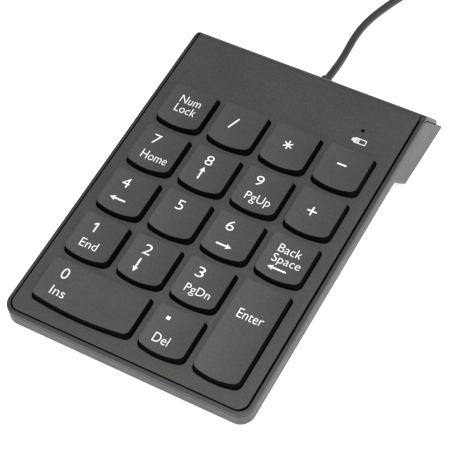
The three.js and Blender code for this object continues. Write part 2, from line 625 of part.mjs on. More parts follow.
function electronics() {
  const boardTop = LAYER.board[1] + 0.05;
  const [chipX, chipY] = CHIP.middle;
  const halfChip = CHIP.size / 2;
  const [ledX, ledY] = INDICATOR;
  const chip = roundedBox(chipX - halfChip, chipX + halfChip, chipY - halfChip, chipY + halfChip, 0.5, 1);
  const led = roundedBox(ledX - 1.5, ledX + 1.5, ledY - 0.8, ledY + 0.8, 0.3, 1);
  const pipe = join(solid(rod(ledX, ledY, 0.6, [-4.1, -0.35], 12)), rod(ledX, ledY, 1.5, [-2.2, -1.5], 12));
  const clamp = prism(roundedBox(-CLAMP.half - 0.6, CLAMP.half + 0.6, ...CLAMP.y, 0.6, 1), CLAMP.z);
  return [
    controllerBoard(),
    node('controller_chip', prism(chip, [boardTop, boardTop + CHIP.height]), MATERIAL.chip),
    node('indicator_led', prism(led, [boardTop, boardTop + 0.9]), MATERIAL.tongue),
    node('light_pipe', pipe, MATERIAL.clear),
    node('tail_clamp', cut(solid(clamp), ...clampRods(0.8, [-8, 0])), MATERIAL.guide),
    screw('clamp_screw_left', [-CLAMP.screwX, clampY], CLAMP.z[1] + 0.05, -1, SMALL_SCREW),
    screw('clamp_screw_right', [CLAMP.screwX, clampY], CLAMP.z[1] + 0.05, -1, SMALL_SCREW),
    screw('board_screw_left', BOARD_SCREWS[0], boardTop, -1, SMALL_SCREW),
    screw('board_screw_right', BOARD_SCREWS[1], boardTop, -1, SMALL_SCREW),
  ];
}

// ---------------------------------------------------------------- fasteners and feet

function caseScrews() {
  const pair = (row, places, z, size) => ['left', 'right'].map(
    (side, i) => screw(`case_screw_${row}_${side}`, places[i], z, 1, size));
  return [
    ...pair('front', FRONT_SCREWS, SHORT_SCREW_Z, SHORT_SCREW),
    ...pair('middle', SIDE_SCREWS, SHORT_SCREW_Z, SHORT_SCREW),
    ...pair('rear', REAR_SCREWS, LONG_SCREW_Z, LONG_SCREW),
  ];
}

// Rubber pads, cut level with the surface that the keypad stands on.
function feet() {
  const [start, end] = [-60, 160];
  const slab = (low, high) => solid(profilePrism([
    [start, deskZ(start) + low], [end, deskZ(end) + low],
    [end, deskZ(end) + high], [start, deskZ(start) + high],
  ], 60));
  return [['left', -1], ['right', 1]].flatMap(([side, sign]) => {
    const { x, y, radius } = FRONT_FOOT;
    const front = rod(sign * x, y, radius, [-14, CASE_BOTTOM_Z - FOOT_GAP], 20);
    const across = around(sign * REAR_FOOT.x, REAR_FOOT.half);
    const plan = roundedBox(...across, ...REAR_FOOT.y, REAR_FOOT.radius, 4);
    const rear = solid(prism(plan, [-30, -10])).intersect(slab(0, REAR_FOOT_HEIGHT - FOOT_GAP));
    return [
      node(`foot_front_${side}`, solid(front).intersect(slab(0, 40)), MATERIAL.rubber),
      node(`foot_rear_${side}`, rear, MATERIAL.rubber),
    ];
  });
}

// ---------------------------------------------------------------- cable on the surface

function cableCoil() {
  const [outer, inner] = COIL.radii;
  const top = COIL.lift + COIL.layers * 2 * CABLE_RADIUS;
  const from = inner - CABLE_RADIUS;
  const to = outer + CABLE_RADIUS;
  const section = [[from, COIL.lift], [to, COIL.lift], [to, top], [from, top], [from, COIL.lift]];
  return node('cable_coil', turned(section, COIL.x, COIL.y, 24), MATERIAL.cable);
}

// Strap around the coil's turns at the side away from the keypad.
function cableTie() {
  const [outer, inner] = COIL.radii;
  const { strap, gap, half } = TIE;
  const x = [COIL.x + inner - CABLE_RADIUS - TIE.inner, COIL.x + outer + CABLE_RADIUS + gap];
  const z = [strap, COIL.lift + COIL.layers * 2 * CABLE_RADIUS + gap];
  const band = block([x[0] - strap, x[1] + strap], around(COIL.y, half), [0, z[1] + strap]);
  const hole = block(x, around(COIL.y, 3 * half), z);
  return node('cable_tie', cut(solid(band), hole), MATERIAL.rubber);
}

// Plug lying on the surface, drawn along -Y from the cable's end.
function plug() {
  const [x, y, z] = PLUG_START;
  const bodyEnd = y - PLUG.length;
  const shellStart = bodyEnd - CLEARANCE;
  const shellEnd = shellStart - PLUG.shellLength;
  const halfWidth = PLUG.width / 2;
  const halfShell = PLUG.shellWidth / 2;
  const halfHeight = PLUG.shellHeight / 2;
  const crossSection = (half, height, radius, from, to) =>
    prism(roundedBox(-half, half, -height, height, radius, 2), [0, from - to])
      .rotateX(Math.PI / 2).translate(x, from, z);
  const grip = crossSection(halfWidth, PLUG.height / 2, 1.5, y - PLUG.neckLength, bodyEnd);
  const neck = crossSection(PLUG.neck, PLUG.neck, 1.6, y - CLEARANCE, y - PLUG.neckLength - OVERLAP);
  const shell = crossSection(halfShell, halfHeight, 0.5, shellStart, shellEnd);
  const wall = PLUG.shellWall;
  const mouth = crossSection(halfShell - wall, halfHeight - wall, 0.3, shellStart - 2 * wall, shellEnd - 1);
  const tongue = block(
    around(x, TONGUE.half), [shellEnd + TONGUE.front, shellStart - TONGUE.rear], shifted(z, TONGUE.z));
  return [
    node('plug_body', join(solid(grip), neck), MATERIAL.plug),
    node('plug_shell', cut(solid(shell), mouth), MATERIAL.steel),
    node('plug_tongue', tongue, MATERIAL.tongue),
  ];
}

// ---------------------------------------------------------------- assembly

const housing = new THREE.Group();
housing.rotation.x = TILT;
housing.add(
  facePanel(),
  rimFrame(),
  bottomCase(),
  guideFrame(),
  domeSheet(),
  node('membrane_upper_film', prism(stackPlan(), LAYER.upperFilm), MATERIAL.film),
  spacerFilm(),
  lowerFilm(),
  node('backing_plate', prism(stackPlan(), LAYER.backing), MATERIAL.steel),
  ...electronics(),
  ...caseScrews(),
  ...feet(),
  grommet(),
  ...KEYS.map(keycap),
  ...KEYS.filter(isLong).map(stabiliserBar),
);

// Stand the housing on its feet, with the middle of its box over the origin.
housing.updateMatrixWorld(true);
const box = new THREE.Box3().setFromObject(housing, true);
const middle = box.getCenter(new THREE.Vector3());
housing.position.set(-middle.x, -middle.y, -box.min.z);

const keypad = new THREE.Group();
keypad.add(
  housing,
  node('cable_lead', cord(LEAD_ROUTE, CABLE_RADIUS, CABLE_SIDES, 16), MATERIAL.cable),
  cableCoil(),
  cableTie(),
  node('cable_end', cord(TAIL_ROUTE, CABLE_RADIUS, CABLE_SIDES, 8), MATERIAL.cable),
  ...plug(),
);

export default keypad;
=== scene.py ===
"""Numeric keypad: the fine surfaces, finishes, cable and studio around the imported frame.

Pieces are shaped in millimetres, most of them in the plate frame: X across, Y to the rear, and Z out
of the face panel with Z = 0 on its top. Placing a piece brings it to metres in the part's own frame.
"""

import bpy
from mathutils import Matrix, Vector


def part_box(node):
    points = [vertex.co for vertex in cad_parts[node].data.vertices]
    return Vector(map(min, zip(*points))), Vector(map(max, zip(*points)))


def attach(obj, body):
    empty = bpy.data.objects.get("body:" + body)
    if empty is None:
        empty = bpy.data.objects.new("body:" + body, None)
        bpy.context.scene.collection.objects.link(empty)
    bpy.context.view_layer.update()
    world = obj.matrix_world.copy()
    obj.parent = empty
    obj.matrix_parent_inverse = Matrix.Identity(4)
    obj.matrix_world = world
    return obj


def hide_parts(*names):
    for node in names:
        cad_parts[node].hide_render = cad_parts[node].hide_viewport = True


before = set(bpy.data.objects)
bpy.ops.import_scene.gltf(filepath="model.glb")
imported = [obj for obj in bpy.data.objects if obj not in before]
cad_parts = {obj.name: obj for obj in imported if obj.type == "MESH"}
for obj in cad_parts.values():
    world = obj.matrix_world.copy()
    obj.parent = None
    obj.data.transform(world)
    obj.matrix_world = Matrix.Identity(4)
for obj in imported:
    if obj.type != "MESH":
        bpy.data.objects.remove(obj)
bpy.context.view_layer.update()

import logging
import math
from collections.abc import Callable, Iterable, Sequence
from dataclasses import dataclass, field
from enum import Enum
from typing import Any

import bmesh
import bpy
from mathutils import Matrix, Vector

log = logging.getLogger("keypad")

Point = tuple[float, float, float]
Colour = tuple[float, float, float]

MM = 0.001
TILT = math.radians(6)
DESK = Matrix.Scale(MM, 4)
PLATE = DESK @ Matrix.Translation((0, -54.515, 8.819)) @ Matrix.Rotation(TILT, 4, "X")
DESK_POINT = (0, 92.6, -18.6)  # a point of the desk and its normal, in the plate frame
DESK_NORMAL = (0, math.sin(TILT), math.cos(TILT))
PITCH = 19.0


# ---------------------------------------------------------------- the workbench


class Kind(Enum):
    """What an edit-mode selection picks."""

    VERT = "verts"
    EDGE = "edges"
    FACE = "faces"


def clear_bench() -> None:
    """Leaves edit mode and deselects everything."""
    if bpy.context.object and bpy.context.object.mode != "OBJECT":
        bpy.ops.object.mode_set(mode="OBJECT")
    bpy.ops.object.select_all(action="DESELECT")


def runs(axis: int, least: float = 1) -> Callable[[Any], bool]:
    """Makes a test for edges that reach further than a length along an axis."""
    return lambda e: abs(e.verts[0].co[axis] - e.verts[1].co[axis]) > least


def corners(node: str) -> tuple[Point, Point]:
    """Gives a node's lowest and highest corner in millimetres."""
    low, high = (tuple(c / MM for c in corner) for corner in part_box(node))
    return low, high


class Piece:
    """A mesh on the workbench, shaped in millimetres by operators on what is picked by place."""

    def __init__(self, name: str, obj: bpy.types.Object | None = None) -> None:
        """Takes the object that an operator has just added, or one given, and names it.

        Args:
            name: the piece's name.
            obj: the mesh object, if it isn't the active one.
        """
        self.obj = obj or bpy.context.object
        self.rename(name)

    def rename(self, name: str) -> None:
        """Names the object and its mesh."""
        self.obj.name = self.obj.data.name = name

    @classmethod
    def block(cls, name: str, low: Point, high: Point) -> "Piece":
        """Adds a box between two corners.

        Args:
            name: the piece's name.
            low: the lowest corner.
            high: the highest corner.

        Returns:
            The new piece.
        """
        clear_bench()
        middle = [(a + b) / 2 for a, b in zip(low, high)]
        bpy.ops.mesh.primitive_cube_add(size=1, location=middle, scale=[b - a for a, b in zip(low, high)])
        bpy.ops.object.transform_apply(location=True, rotation=True, scale=True)
        return cls(name)

    @classmethod
    def sheet(cls, name: str, x: Point, y: Point, z: float) -> "Piece":
        """Adds a flat rectangle.

        Args:
            name: the piece's name.
            x: its two ends across.
            y: its front and rear.
            z: its height.

        Returns:
            The new piece.
        """
        clear_bench()
        middle = ((x[0] + x[1]) / 2, (y[0] + y[1]) / 2, z)
        bpy.ops.mesh.primitive_plane_add(size=1, location=middle)
        bpy.context.object.scale = (x[1] - x[0], y[1] - y[0], 1)
        bpy.ops.object.transform_apply(location=True, rotation=True, scale=True)
        return cls(name)

    @classmethod
    def rod(cls, name: str, place: Point, radius: float, height: float, sides: int = 32) -> "Piece":
        """Adds an upright cylinder.

        Args:
            name: the piece's name.
            place: the middle of its lower end.
            radius: its radius.
            height: its height.
            sides: how many faces go round.

        Returns:
            The new piece.
        """
        clear_bench()
        middle = (place[0], place[1], place[2] + height / 2)
        bpy.ops.mesh.primitive_cylinder_add(vertices=sides, radius=radius, depth=height, location=middle)
        bpy.ops.object.transform_apply(location=True, rotation=True, scale=True)
        return cls(name)

    @classmethod
    def trace(cls, name: str, points: Sequence[Point], fill: bool = True) -> "Piece":
        """Draws an outline by extruding one vertex from point to point.

        Args:
            name: the piece's name.
            points: the corners in order.
            fill: whether the outline is closed and filled with a face.

        Returns:
            The new piece.
        """
        piece = cls.sheet(name, (-1, 1), (-1, 1), 0)
        piece.open()
        bpy.ops.mesh.select_all(action="SELECT")
        bpy.ops.mesh.merge(type="CENTER")
        bpy.ops.mesh.select_mode(type="VERT")
        bpy.ops.mesh.select_all(action="SELECT")
        bpy.ops.transform.translate(value=points[0])
        for here, there in zip(points, points[1:]):
            step = Vector(there) - Vector(here)
            bpy.ops.mesh.extrude_vertices_move(TRANSFORM_OT_translate={"value": step})
        if fill:
            ends = (Vector(points[0]), Vector(points[-1]))
            piece.pick(Kind.VERT, lambda v: min((v.co - end).length for end in ends) < 1e-4)
            bpy.ops.mesh.edge_face_add()
            bpy.ops.mesh.select_all(action="SELECT")
            bpy.ops.mesh.edge_face_add()
        return piece

    @classmethod
    def turned(
        cls, name: str, points: Sequence[Point], centre: Point, axis: Point, steps: int = 32,
    ) -> "Piece":
        """Turns a profile all the way round an axis.

        Args:
            name: the piece's name.
            points: the profile's corners, which close on themselves or end on the axis.
            centre: a point of the axis.
            axis: its direction.
            steps: faces all round.

        Returns:
            The new closed piece.
        """
        piece = cls.trace(name, points, fill=False)
        piece.pick(Kind.VERT).spin(centre, axis, 360, steps)
        return piece.tidy_faces()

    def open(self) -> None:
        """Enters edit mode on this piece alone."""
        if bpy.context.object is self.obj and self.obj.mode == "EDIT":
            return
        clear_bench()
        self.obj.select_set(True)
        bpy.context.view_layer.objects.active = self.obj
        bpy.ops.object.mode_set(mode="EDIT")

    def close(self) -> "Piece":
        """Leaves edit mode with this piece alone selected."""
        clear_bench()
        self.obj.select_set(True)
        bpy.context.view_layer.objects.active = self.obj
        return self

    def pick(self, kind: Kind, test: Callable[[Any], bool] | None = None) -> "Piece":
        """Selects the elements that pass a test, and nothing else.

        Args:
            kind: vertices, edges or faces.
            test: says whether an element is picked; all are if it is left out.

        Returns:
            This piece.
        """
        self.open()
        bpy.ops.mesh.select_mode(type=kind.name)
        bpy.ops.mesh.select_all(action="DESELECT")
        mesh = bmesh.from_edit_mesh(self.obj.data)
        for item in getattr(mesh, kind.value):
            if test is None or test(item):
                item.select_set(True)
        mesh.select_flush_mode()
        bmesh.update_edit_mesh(self.obj.data)
        return self

    def extrude(self, x: float = 0, y: float = 0, z: float = 0) -> "Piece":
        """Extrudes the selection by a step."""
        bpy.ops.mesh.extrude_region_move(TRANSFORM_OT_translate={"value": (x, y, z)})
        return self

    def inset(self, thickness: float) -> "Piece":
        """Insets the selected faces."""
        bpy.ops.mesh.inset(thickness=thickness, use_even_offset=True)
        return self

    def bevel(self, width: float, steps: int = 1, corners: bool = False) -> "Piece":
        """Rounds the selected edges, or the corners of a flat outline.

        Args:
            width: how far the rounding reaches.
            steps: its segments.
            corners: rounds vertices instead of edges.

        Returns:
            This piece.
        """
        affect = "VERTICES" if corners else "EDGES"
        bpy.ops.mesh.bevel(
            offset=width, offset_type="OFFSET", segments=steps, affect=affect, clamp_overlap=True)
        return self

    def move(self, x: float = 0, y: float = 0, z: float = 0, reach: float = 0) -> "Piece":
        """Moves the selection, and what is within reach of it along a parabola."""
        bpy.ops.transform.translate(
            value=(x, y, z), use_proportional_edit=reach > 0, proportional_size=max(reach, 1e-3),
            proportional_edit_falloff="INVERSE_SQUARE")
        return self

    def resize(self, factors: Point, centre: Point) -> "Piece":
        """Scales the selection about a point."""
        bpy.ops.transform.resize(value=factors, center_override=centre)
        return self

    def bisect(self, place: Point, normal: Point, clear: bool = False) -> "Piece":
        """Cuts the whole mesh by a plane.

        Args:
            place: a point of the plane.
            normal: the plane's normal.
            clear: removes what the normal points away from, and closes the cut.

        Returns:
            This piece.
        """
        self.pick(Kind.FACE)
        bpy.ops.mesh.bisect(plane_co=place, plane_no=normal, clear_inner=clear, use_fill=clear)
        return self

    def spin(self, centre: Point, axis: Point, degrees: float, steps: int) -> "Piece":
        """Sweeps the selection round an axis."""
        bpy.ops.mesh.spin(steps=steps, angle=math.radians(degrees), center=centre, axis=axis)
        return self

    def tidy_faces(self) -> "Piece":
        """Merges doubles and points every face outwards."""
        self.pick(Kind.VERT)
        bpy.ops.mesh.remove_doubles(threshold=1e-3)
        bpy.ops.mesh.select_all(action="SELECT")
        bpy.ops.mesh.normals_make_consistent(inside=False)
        return self

    def modify(self, kind: str, **settings: Any) -> "Piece":
        """Adds a modifier and applies it.

        Args:
            kind: the modifier's type.
            settings: its properties.

        Returns:
            This piece.
        """
        self.close()
        modifier = self.obj.modifiers.new(kind.title(), kind)
        for key, value in settings.items():
            setattr(modifier, key, value)
        bpy.ops.object.modifier_apply(modifier=modifier.name)
        return self

    def combine(self, other: "Piece", operation: str = "DIFFERENCE") -> "Piece":
        """Cuts, joins or meets this piece with another, which is used up."""
        other.close()
        self.modify("BOOLEAN", object=other.obj, operation=operation, solver="EXACT")
        bpy.data.objects.remove(other.obj)
        return self

    def gather(self, others: Iterable["Piece"]) -> "Piece":
        """Takes other pieces into this one as they are."""
        self.close()
        for other in others:
            other.obj.select_set(True)
        bpy.ops.object.join()
        return self

    def soften(self, width: float, steps: int = 2, degrees: float = 40) -> "Piece":
        """Rounds every edge sharper than an angle."""
        return self.modify("BEVEL", width=width, segments=steps, limit_method="ANGLE",
                           angle_limit=math.radians(degrees), use_clamp_overlap=True)

    def copy(self, name: str) -> "Piece":
        """Duplicates the piece with a mesh of its own."""
        self.close()
        bpy.ops.object.duplicate(linked=False)
        return Piece(name)

    def coat(self, outer: "Finish", second: "Finish", test: Callable[[Any], bool]) -> "Piece":
        """Gives the piece two finishes, the second one on the faces that pass a test."""
        for finish in (outer, second):
            self.obj.data.materials.append(finish.material())
        self.pick(Kind.FACE, test)
        self.obj.active_material_index = 1
        bpy.ops.object.material_slot_assign()
        return self

    def finish(self, place: Matrix, *finishes: "Finish", smooth: float = 32) -> "Piece":
        """Shades the piece smooth, dresses it and brings it to its place in metres.

        Args:
            place: from the workbench to the part's frame.
            finishes: its finishes, in the order of its material slots.
            smooth: edges up to this many degrees are shaded smooth.

        Returns:
            This piece.
        """
        self.close()
        bpy.ops.object.shade_smooth_by_angle(angle=math.radians(smooth))
        self.obj.data.transform(place)
        self.obj.data.update()
        self.modify("WEIGHTED_NORMAL", keep_sharp=True)
        for finish in finishes:
            self.obj.data.materials.append(finish.material())
        return self

    def hand_over(self, body: str, slot: str, *nodes: str) -> None:
        """Lets the piece ride on a body, and stand for the frame's nodes.

        Args:
            body: the body that it rides on.
            slot: the record's material slot; not used.
            nodes: the nodes that it stands for.
        """
        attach(self.obj, body)
        if nodes:
            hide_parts(*nodes)
        log.info("%s rides on %s, %d faces", self.obj.name, body, len(self.obj.data.polygons))


# ---------------------------------------------------------------- shader sheets


class Wire:
    """One output socket, on which Python's operators add Math nodes."""

    def __init__(self, sheet: "Sheet", socket: bpy.types.NodeSocket) -> None:
        """Keeps the socket and the sheet that it is on."""
        self.sheet = sheet
        self.socket = socket

    def _maths(self, operation: str, left: Any, right: Any) -> "Wire":
        """Adds a Math node on two values."""
        return self.sheet.node("ShaderNodeMath", {0: left, 1: right}, operation=operation)

    def __add__(self, other: Any) -> "Wire":
        """Sum."""
        return self._maths("ADD", self, other)

    def __mul__(self, other: Any) -> "Wire":
        """Product."""
        return self._maths("MULTIPLY", self, other)

    __radd__ = __add__
    __rmul__ = __mul__


class Sheet:
    """The node tree of one material."""

    def __init__(self, name: str) -> None:
        """Starts a material with a Principled shader."""
        self.material = bpy.data.materials.new(name)
        self.material.use_nodes = True
        self.tree = self.material.node_tree
        self.shader = self.tree.nodes["Principled BSDF"]

    def plug(self, socket: bpy.types.NodeSocket, value: Any) -> None:
        """Links a wire to a socket, or sets its value."""
        if isinstance(value, Wire):
            self.tree.links.new(value.socket, socket)
        else:
            socket.default_value = value

    def node(self, kind: str, inputs: dict[Any, Any] | None = None, output: Any = 0, **settings: Any) -> Wire:
        """Adds a node.

        Args:
            kind: the node's type.
            inputs: values or wires by socket.
            output: which output is wanted.
            settings: the node's properties, set first.

        Returns:
            The wanted output.
        """
        made = self.tree.nodes.new(kind)
        for key, value in settings.items():
            setattr(made, key, value)
        for key, value in (inputs or {}).items():
            self.plug(made.inputs[key], value)
        return Wire(self, made.outputs[output])

    def place(self) -> Wire:
        """Gives the position in the part's frame."""
        return self.node("ShaderNodeTexCoord", output="Object")

    def noise(self, size: float, detail: float = 2, vector: Wire | None = None) -> Wire:
        """Adds noise with features of a size.

        Args:
            size: the features' size in metres.
            detail: how much finer detail is on them.
            vector: where it is read, the plain position if left out.

        Returns:
            A value about 0.5.
        """
        inputs = {"Vector": vector or self.place(), "Scale": 1 / size, "Detail": detail}
        return self.node("ShaderNodeTexNoise", inputs, output=0)

    def spread(self, value: Wire, low: float, high: float) -> Wire:
        """Stretches a value about 0.5 over a range, and keeps it in it."""
        inputs = {"Value": value, "From Min": 0.3, "From Max": 0.7, "To Min": low, "To Max": high}
        return self.node("ShaderNodeMapRange", inputs)

    def tint(self, low: Colour, high: Colour, factor: Wire) -> Wire:
        """Mixes two colours."""
        inputs = {0: factor, 6: (*low, 1), 7: (*high, 1)}
        return self.node("ShaderNodeMix", inputs, output=2, data_type="RGBA")

    def bump(self, height: Wire, depth: float, under: Wire | None = None) -> Wire:
        """Adds relief of a depth in metres, over other relief if it is given."""
        inputs = {"Height": height, "Distance": depth, "Strength": 1.0}
        if under:
            inputs["Normal"] = under
        return self.node("ShaderNodeBump", inputs)

    def dress(self, **sockets: Any) -> bpy.types.Material:
        """Sets the shader's sockets, named with underscores for spaces, and gives the material."""
        for key, value in sockets.items():
            self.plug(self.shader.inputs[key.replace("_", " ")], value)
        return self.material


def shade(colour: Colour, factor: float) -> Colour:
    """Lightens or darkens a colour."""
    return tuple(c * factor for c in colour)


@dataclass(frozen=True)
class Finish:
    """A finish, made once and shared by the pieces that carry it."""

    name: str
    colour: Colour

    def material(self) -> bpy.types.Material:
        """Gives the finish's material, making it at first use."""
        name = f"fine_{self.name}"
        return bpy.data.materials.get(name) or self.make(Sheet(name))

    def make(self, sheet: Sheet) -> bpy.types.Material:
        """Draws the finish on a sheet."""
        raise NotImplementedError


@dataclass(frozen=True)
class Moulded(Finish):
    """Moulded plastic or rubber: an eroded grain with softly uneven colour and gloss."""

    roughness: float = 0.5
    grain: float = 0.00028
    depth: float = 0.000012
    uneven: float = 0.06
    specular: float = 0.5

    def make(self, sheet: Sheet) -> bpy.types.Material:
        """Draws grain, cloudy colour and cloudy gloss."""
        cloud = sheet.noise(0.012, 3)
        speck = sheet.noise(self.grain * 1.6, 1)
        mix = sheet.spread(cloud, 0, 1) * 0.25 + sheet.spread(speck, 0, 1) * 0.75
        colour = sheet.tint(shade(self.colour, 1 - self.uneven), shade(self.colour, 1 + self.uneven), mix)
        grain = sheet.noise(self.grain, 2)
        relief = sheet.bump(grain, self.depth)
        gloss = sheet.spread(cloud, self.roughness - 0.04, self.roughness + 0.05)
        return sheet.dress(
            Base_Color=colour, Roughness=gloss, Normal=relief, Specular_IOR_Level=self.specular)


@dataclass(frozen=True)
class Printed(Finish):
    """Printed or lasered ink: slightly uneven cover with a chalky surface."""

    def make(self, sheet: Sheet) -> bpy.types.Material:
        """Draws uneven cover."""
        speck = sheet.spread(sheet.noise(0.00012, 2), 0, 1)
        colour = sheet.tint(shade(self.colour, 0.9), self.colour, speck)
        return sheet.dress(Base_Color=colour, Roughness=0.55, Normal=sheet.bump(speck, 0.000004))


@dataclass(frozen=True)
class Metal(Finish):
    """Bright metal with fine drawing or turning marks."""

    roughness: float = 0.3
    along: Point = (1, 1, 12)

    def make(self, sheet: Sheet) -> bpy.types.Material:
        """Draws streaks along one way, with cloudy gloss."""
        stretched = sheet.node("ShaderNodeMapping", {"Vector": sheet.place(), "Scale": self.along})
        streak = sheet.spread(sheet.noise(0.0008, 3, stretched), 0, 1)
        colour = sheet.tint(shade(self.colour, 0.86), self.colour, streak)
        gloss = sheet.spread(sheet.noise(0.004, 3), self.roughness - 0.06, self.roughness + 0.1)
        relief = sheet.bump(streak, 0.000003)
        return sheet.dress(Base_Color=colour, Metallic=1.0, Roughness=gloss, Normal=relief)


@dataclass(frozen=True)
class Film(Finish):
    """Polyester film with a faint silver track print."""

    track: Colour = (0.55, 0.56, 0.56)

    def make(self, sheet: Sheet) -> bpy.types.Material:
        """Draws parallel tracks on a milky film."""
        wave = sheet.node("ShaderNodeTexWave", {"Vector": sheet.place(), "Scale": 95.0, "Distortion": 1.5},
                          output=1, bands_direction="X")
        track = sheet.node("ShaderNodeMapRange", {"Value": wave, "From Min": 0.75, "From Max": 0.8})
        colour = sheet.tint(self.colour, self.track, track)
        relief = sheet.bump(sheet.noise(0.003, 2), 0.00001)
        return sheet.dress(Base_Color=colour, Roughness=0.35 + track * 0.1, Normal=relief)


@dataclass(frozen=True)
class Laminate(Finish):
    """Circuit board under solder mask, with copper tracks showing through."""

    track: Colour = (0.035, 0.16, 0.07)

    def make(self, sheet: Sheet) -> bpy.types.Material:
        """Draws tracks on a blocky grid under a glossy mask."""
        cells = sheet.node("ShaderNodeTexVoronoi", {"Vector": sheet.place(), "Scale": 420.0},
                           output=0, distance="CHEBYCHEV")
        track = sheet.node("ShaderNodeMapRange", {"Value": cells, "From Min": 0.36, "From Max": 0.4})
        colour = sheet.tint(self.colour, self.track, track)
        return sheet.dress(Base_Color=colour, Roughness=0.3 + track * 0.08, Normal=sheet.bump(track, 0.00002))


@dataclass(frozen=True)
class Clear(Finish):
    """Smoked clear plastic with faint flow marks."""

    def make(self, sheet: Sheet) -> bpy.types.Material:
        """Draws a glossy body with flow marks."""
        flow = sheet.noise(0.002, 2)
        colour = sheet.tint(shade(self.colour, 0.8), shade(self.colour, 1.2), flow)
        return sheet.dress(Base_Color=colour, Roughness=sheet.spread(flow, 0.25, 0.35),
                           Normal=sheet.bump(flow, 0.000004), Specular_IOR_Level=0.1)


@dataclass(frozen=True)
class Strap(Finish):
    """Woven hook-and-loop strap."""

    def make(self, sheet: Sheet) -> bpy.types.Material:
        """Draws ribs one way and yarns the other."""
        rib = sheet.node("ShaderNodeTexWave", {"Vector": sheet.place(), "Scale": 700.0}, output=1,
                         bands_direction="Y")
        yarn = sheet.node("ShaderNodeTexWave", {"Vector": sheet.place(), "Scale": 900.0}, output=1,
                          bands_direction="DIAGONAL")
        fuzz = sheet.noise(0.0002, 3)
        height = rib * 0.6 + yarn * 0.4 + fuzz * 0.4
        colour = sheet.tint(shade(self.colour, 0.6), shade(self.colour, 1.5), height * 0.7)
        return sheet.dress(Base_Color=colour, Roughness=sheet.spread(fuzz, 0.8, 0.95),
                           Normal=sheet.bump(height, 0.00008))


KEY_TOP = Moulded(
    "key_top_plastic", (0.041, 0.041, 0.039), roughness=0.44, grain=0.0004, depth=0.00004, uneven=0.2)
# near-black for the keycaps' sides and for the rim below its parting line, and also painted shade: a dark
# line along each keycap's top edge, and the walls of the panel's openings and groove
SIDE_BLACK_AND_PAINTED_SHADE = Moulded("key_side_plastic", (0.003, 0.003, 0.0032), roughness=0.5, specular=0.08)
PANEL = Moulded(
    "panel_plastic", (0.036, 0.036, 0.034), roughness=0.46, grain=0.00045, depth=0.00005, uneven=0.26)
RIM = Moulded("rim_plastic", (0.026, 0.026, 0.029), roughness=0.4)
CASE = Moulded(
    "case_plastic", (0.034, 0.034, 0.0325), roughness=0.5, grain=0.00045, depth=0.00004, uneven=0.14)
GUIDE = Moulded("guide_plastic", (0.008, 0.008, 0.009), roughness=0.6, specular=0.2)
RUBBER = Moulded("foot_rubber", (0.018, 0.018, 0.018), roughness=0.85, grain=0.0004, depth=0.00002)
JACKET = Moulded("cable_jacket", (0.026, 0.026, 0.026), roughness=0.5, grain=0.0005, depth=0.00001)
SILICONE = Moulded("dome_silicone", (0.42, 0.44, 0.45), roughness=0.6)
CHIP = Moulded("chip_body", (0.012, 0.012, 0.013), roughness=0.4)
LED_BODY = Moulded("led_body", (0.75, 0.74, 0.7), roughness=0.35, uneven=0.03)
PLUG_PLASTIC = Moulded("plug_plastic", (0.02, 0.02, 0.021), roughness=0.5)
INSULATOR = Moulded("plug_insulator", (0.62, 0.62, 0.6), roughness=0.45, uneven=0.03)
INK = Printed("legend_ink", (0.86, 0.87, 0.88))
PALE_INK = Printed("charge_ink", (0.5, 0.51, 0.51))
SCREW_STEEL = Metal("screw_steel", (0.42, 0.42, 0.43), roughness=0.32, along=(6, 6, 6))
WIRE_STEEL = Metal("wire_steel", (0.55, 0.55, 0.56), roughness=0.25, along=(2, 8, 8))
PLATE_STEEL = Metal("plate_steel", (0.5, 0.5, 0.51), roughness=0.38, along=(12, 1, 1))
PLUG_STEEL = Metal("plug_steel", (0.62, 0.62, 0.63), roughness=0.22, along=(10, 1, 10))
CONTACT_GOLD = Metal("contact_gold", (0.78, 0.56, 0.2), roughness=0.25, along=(10, 1, 10))
FILM = Film("membrane_film", (0.5, 0.55, 0.53))
LAMINATE = Laminate("board_laminate", (0.012, 0.075, 0.03))
SMOKED = Clear("light_pipe_clear", (0.003, 0.003, 0.004))
STRAP = Strap("tie_strap", (0.03, 0.03, 0.032))


# ---------------------------------------------------------------- studio


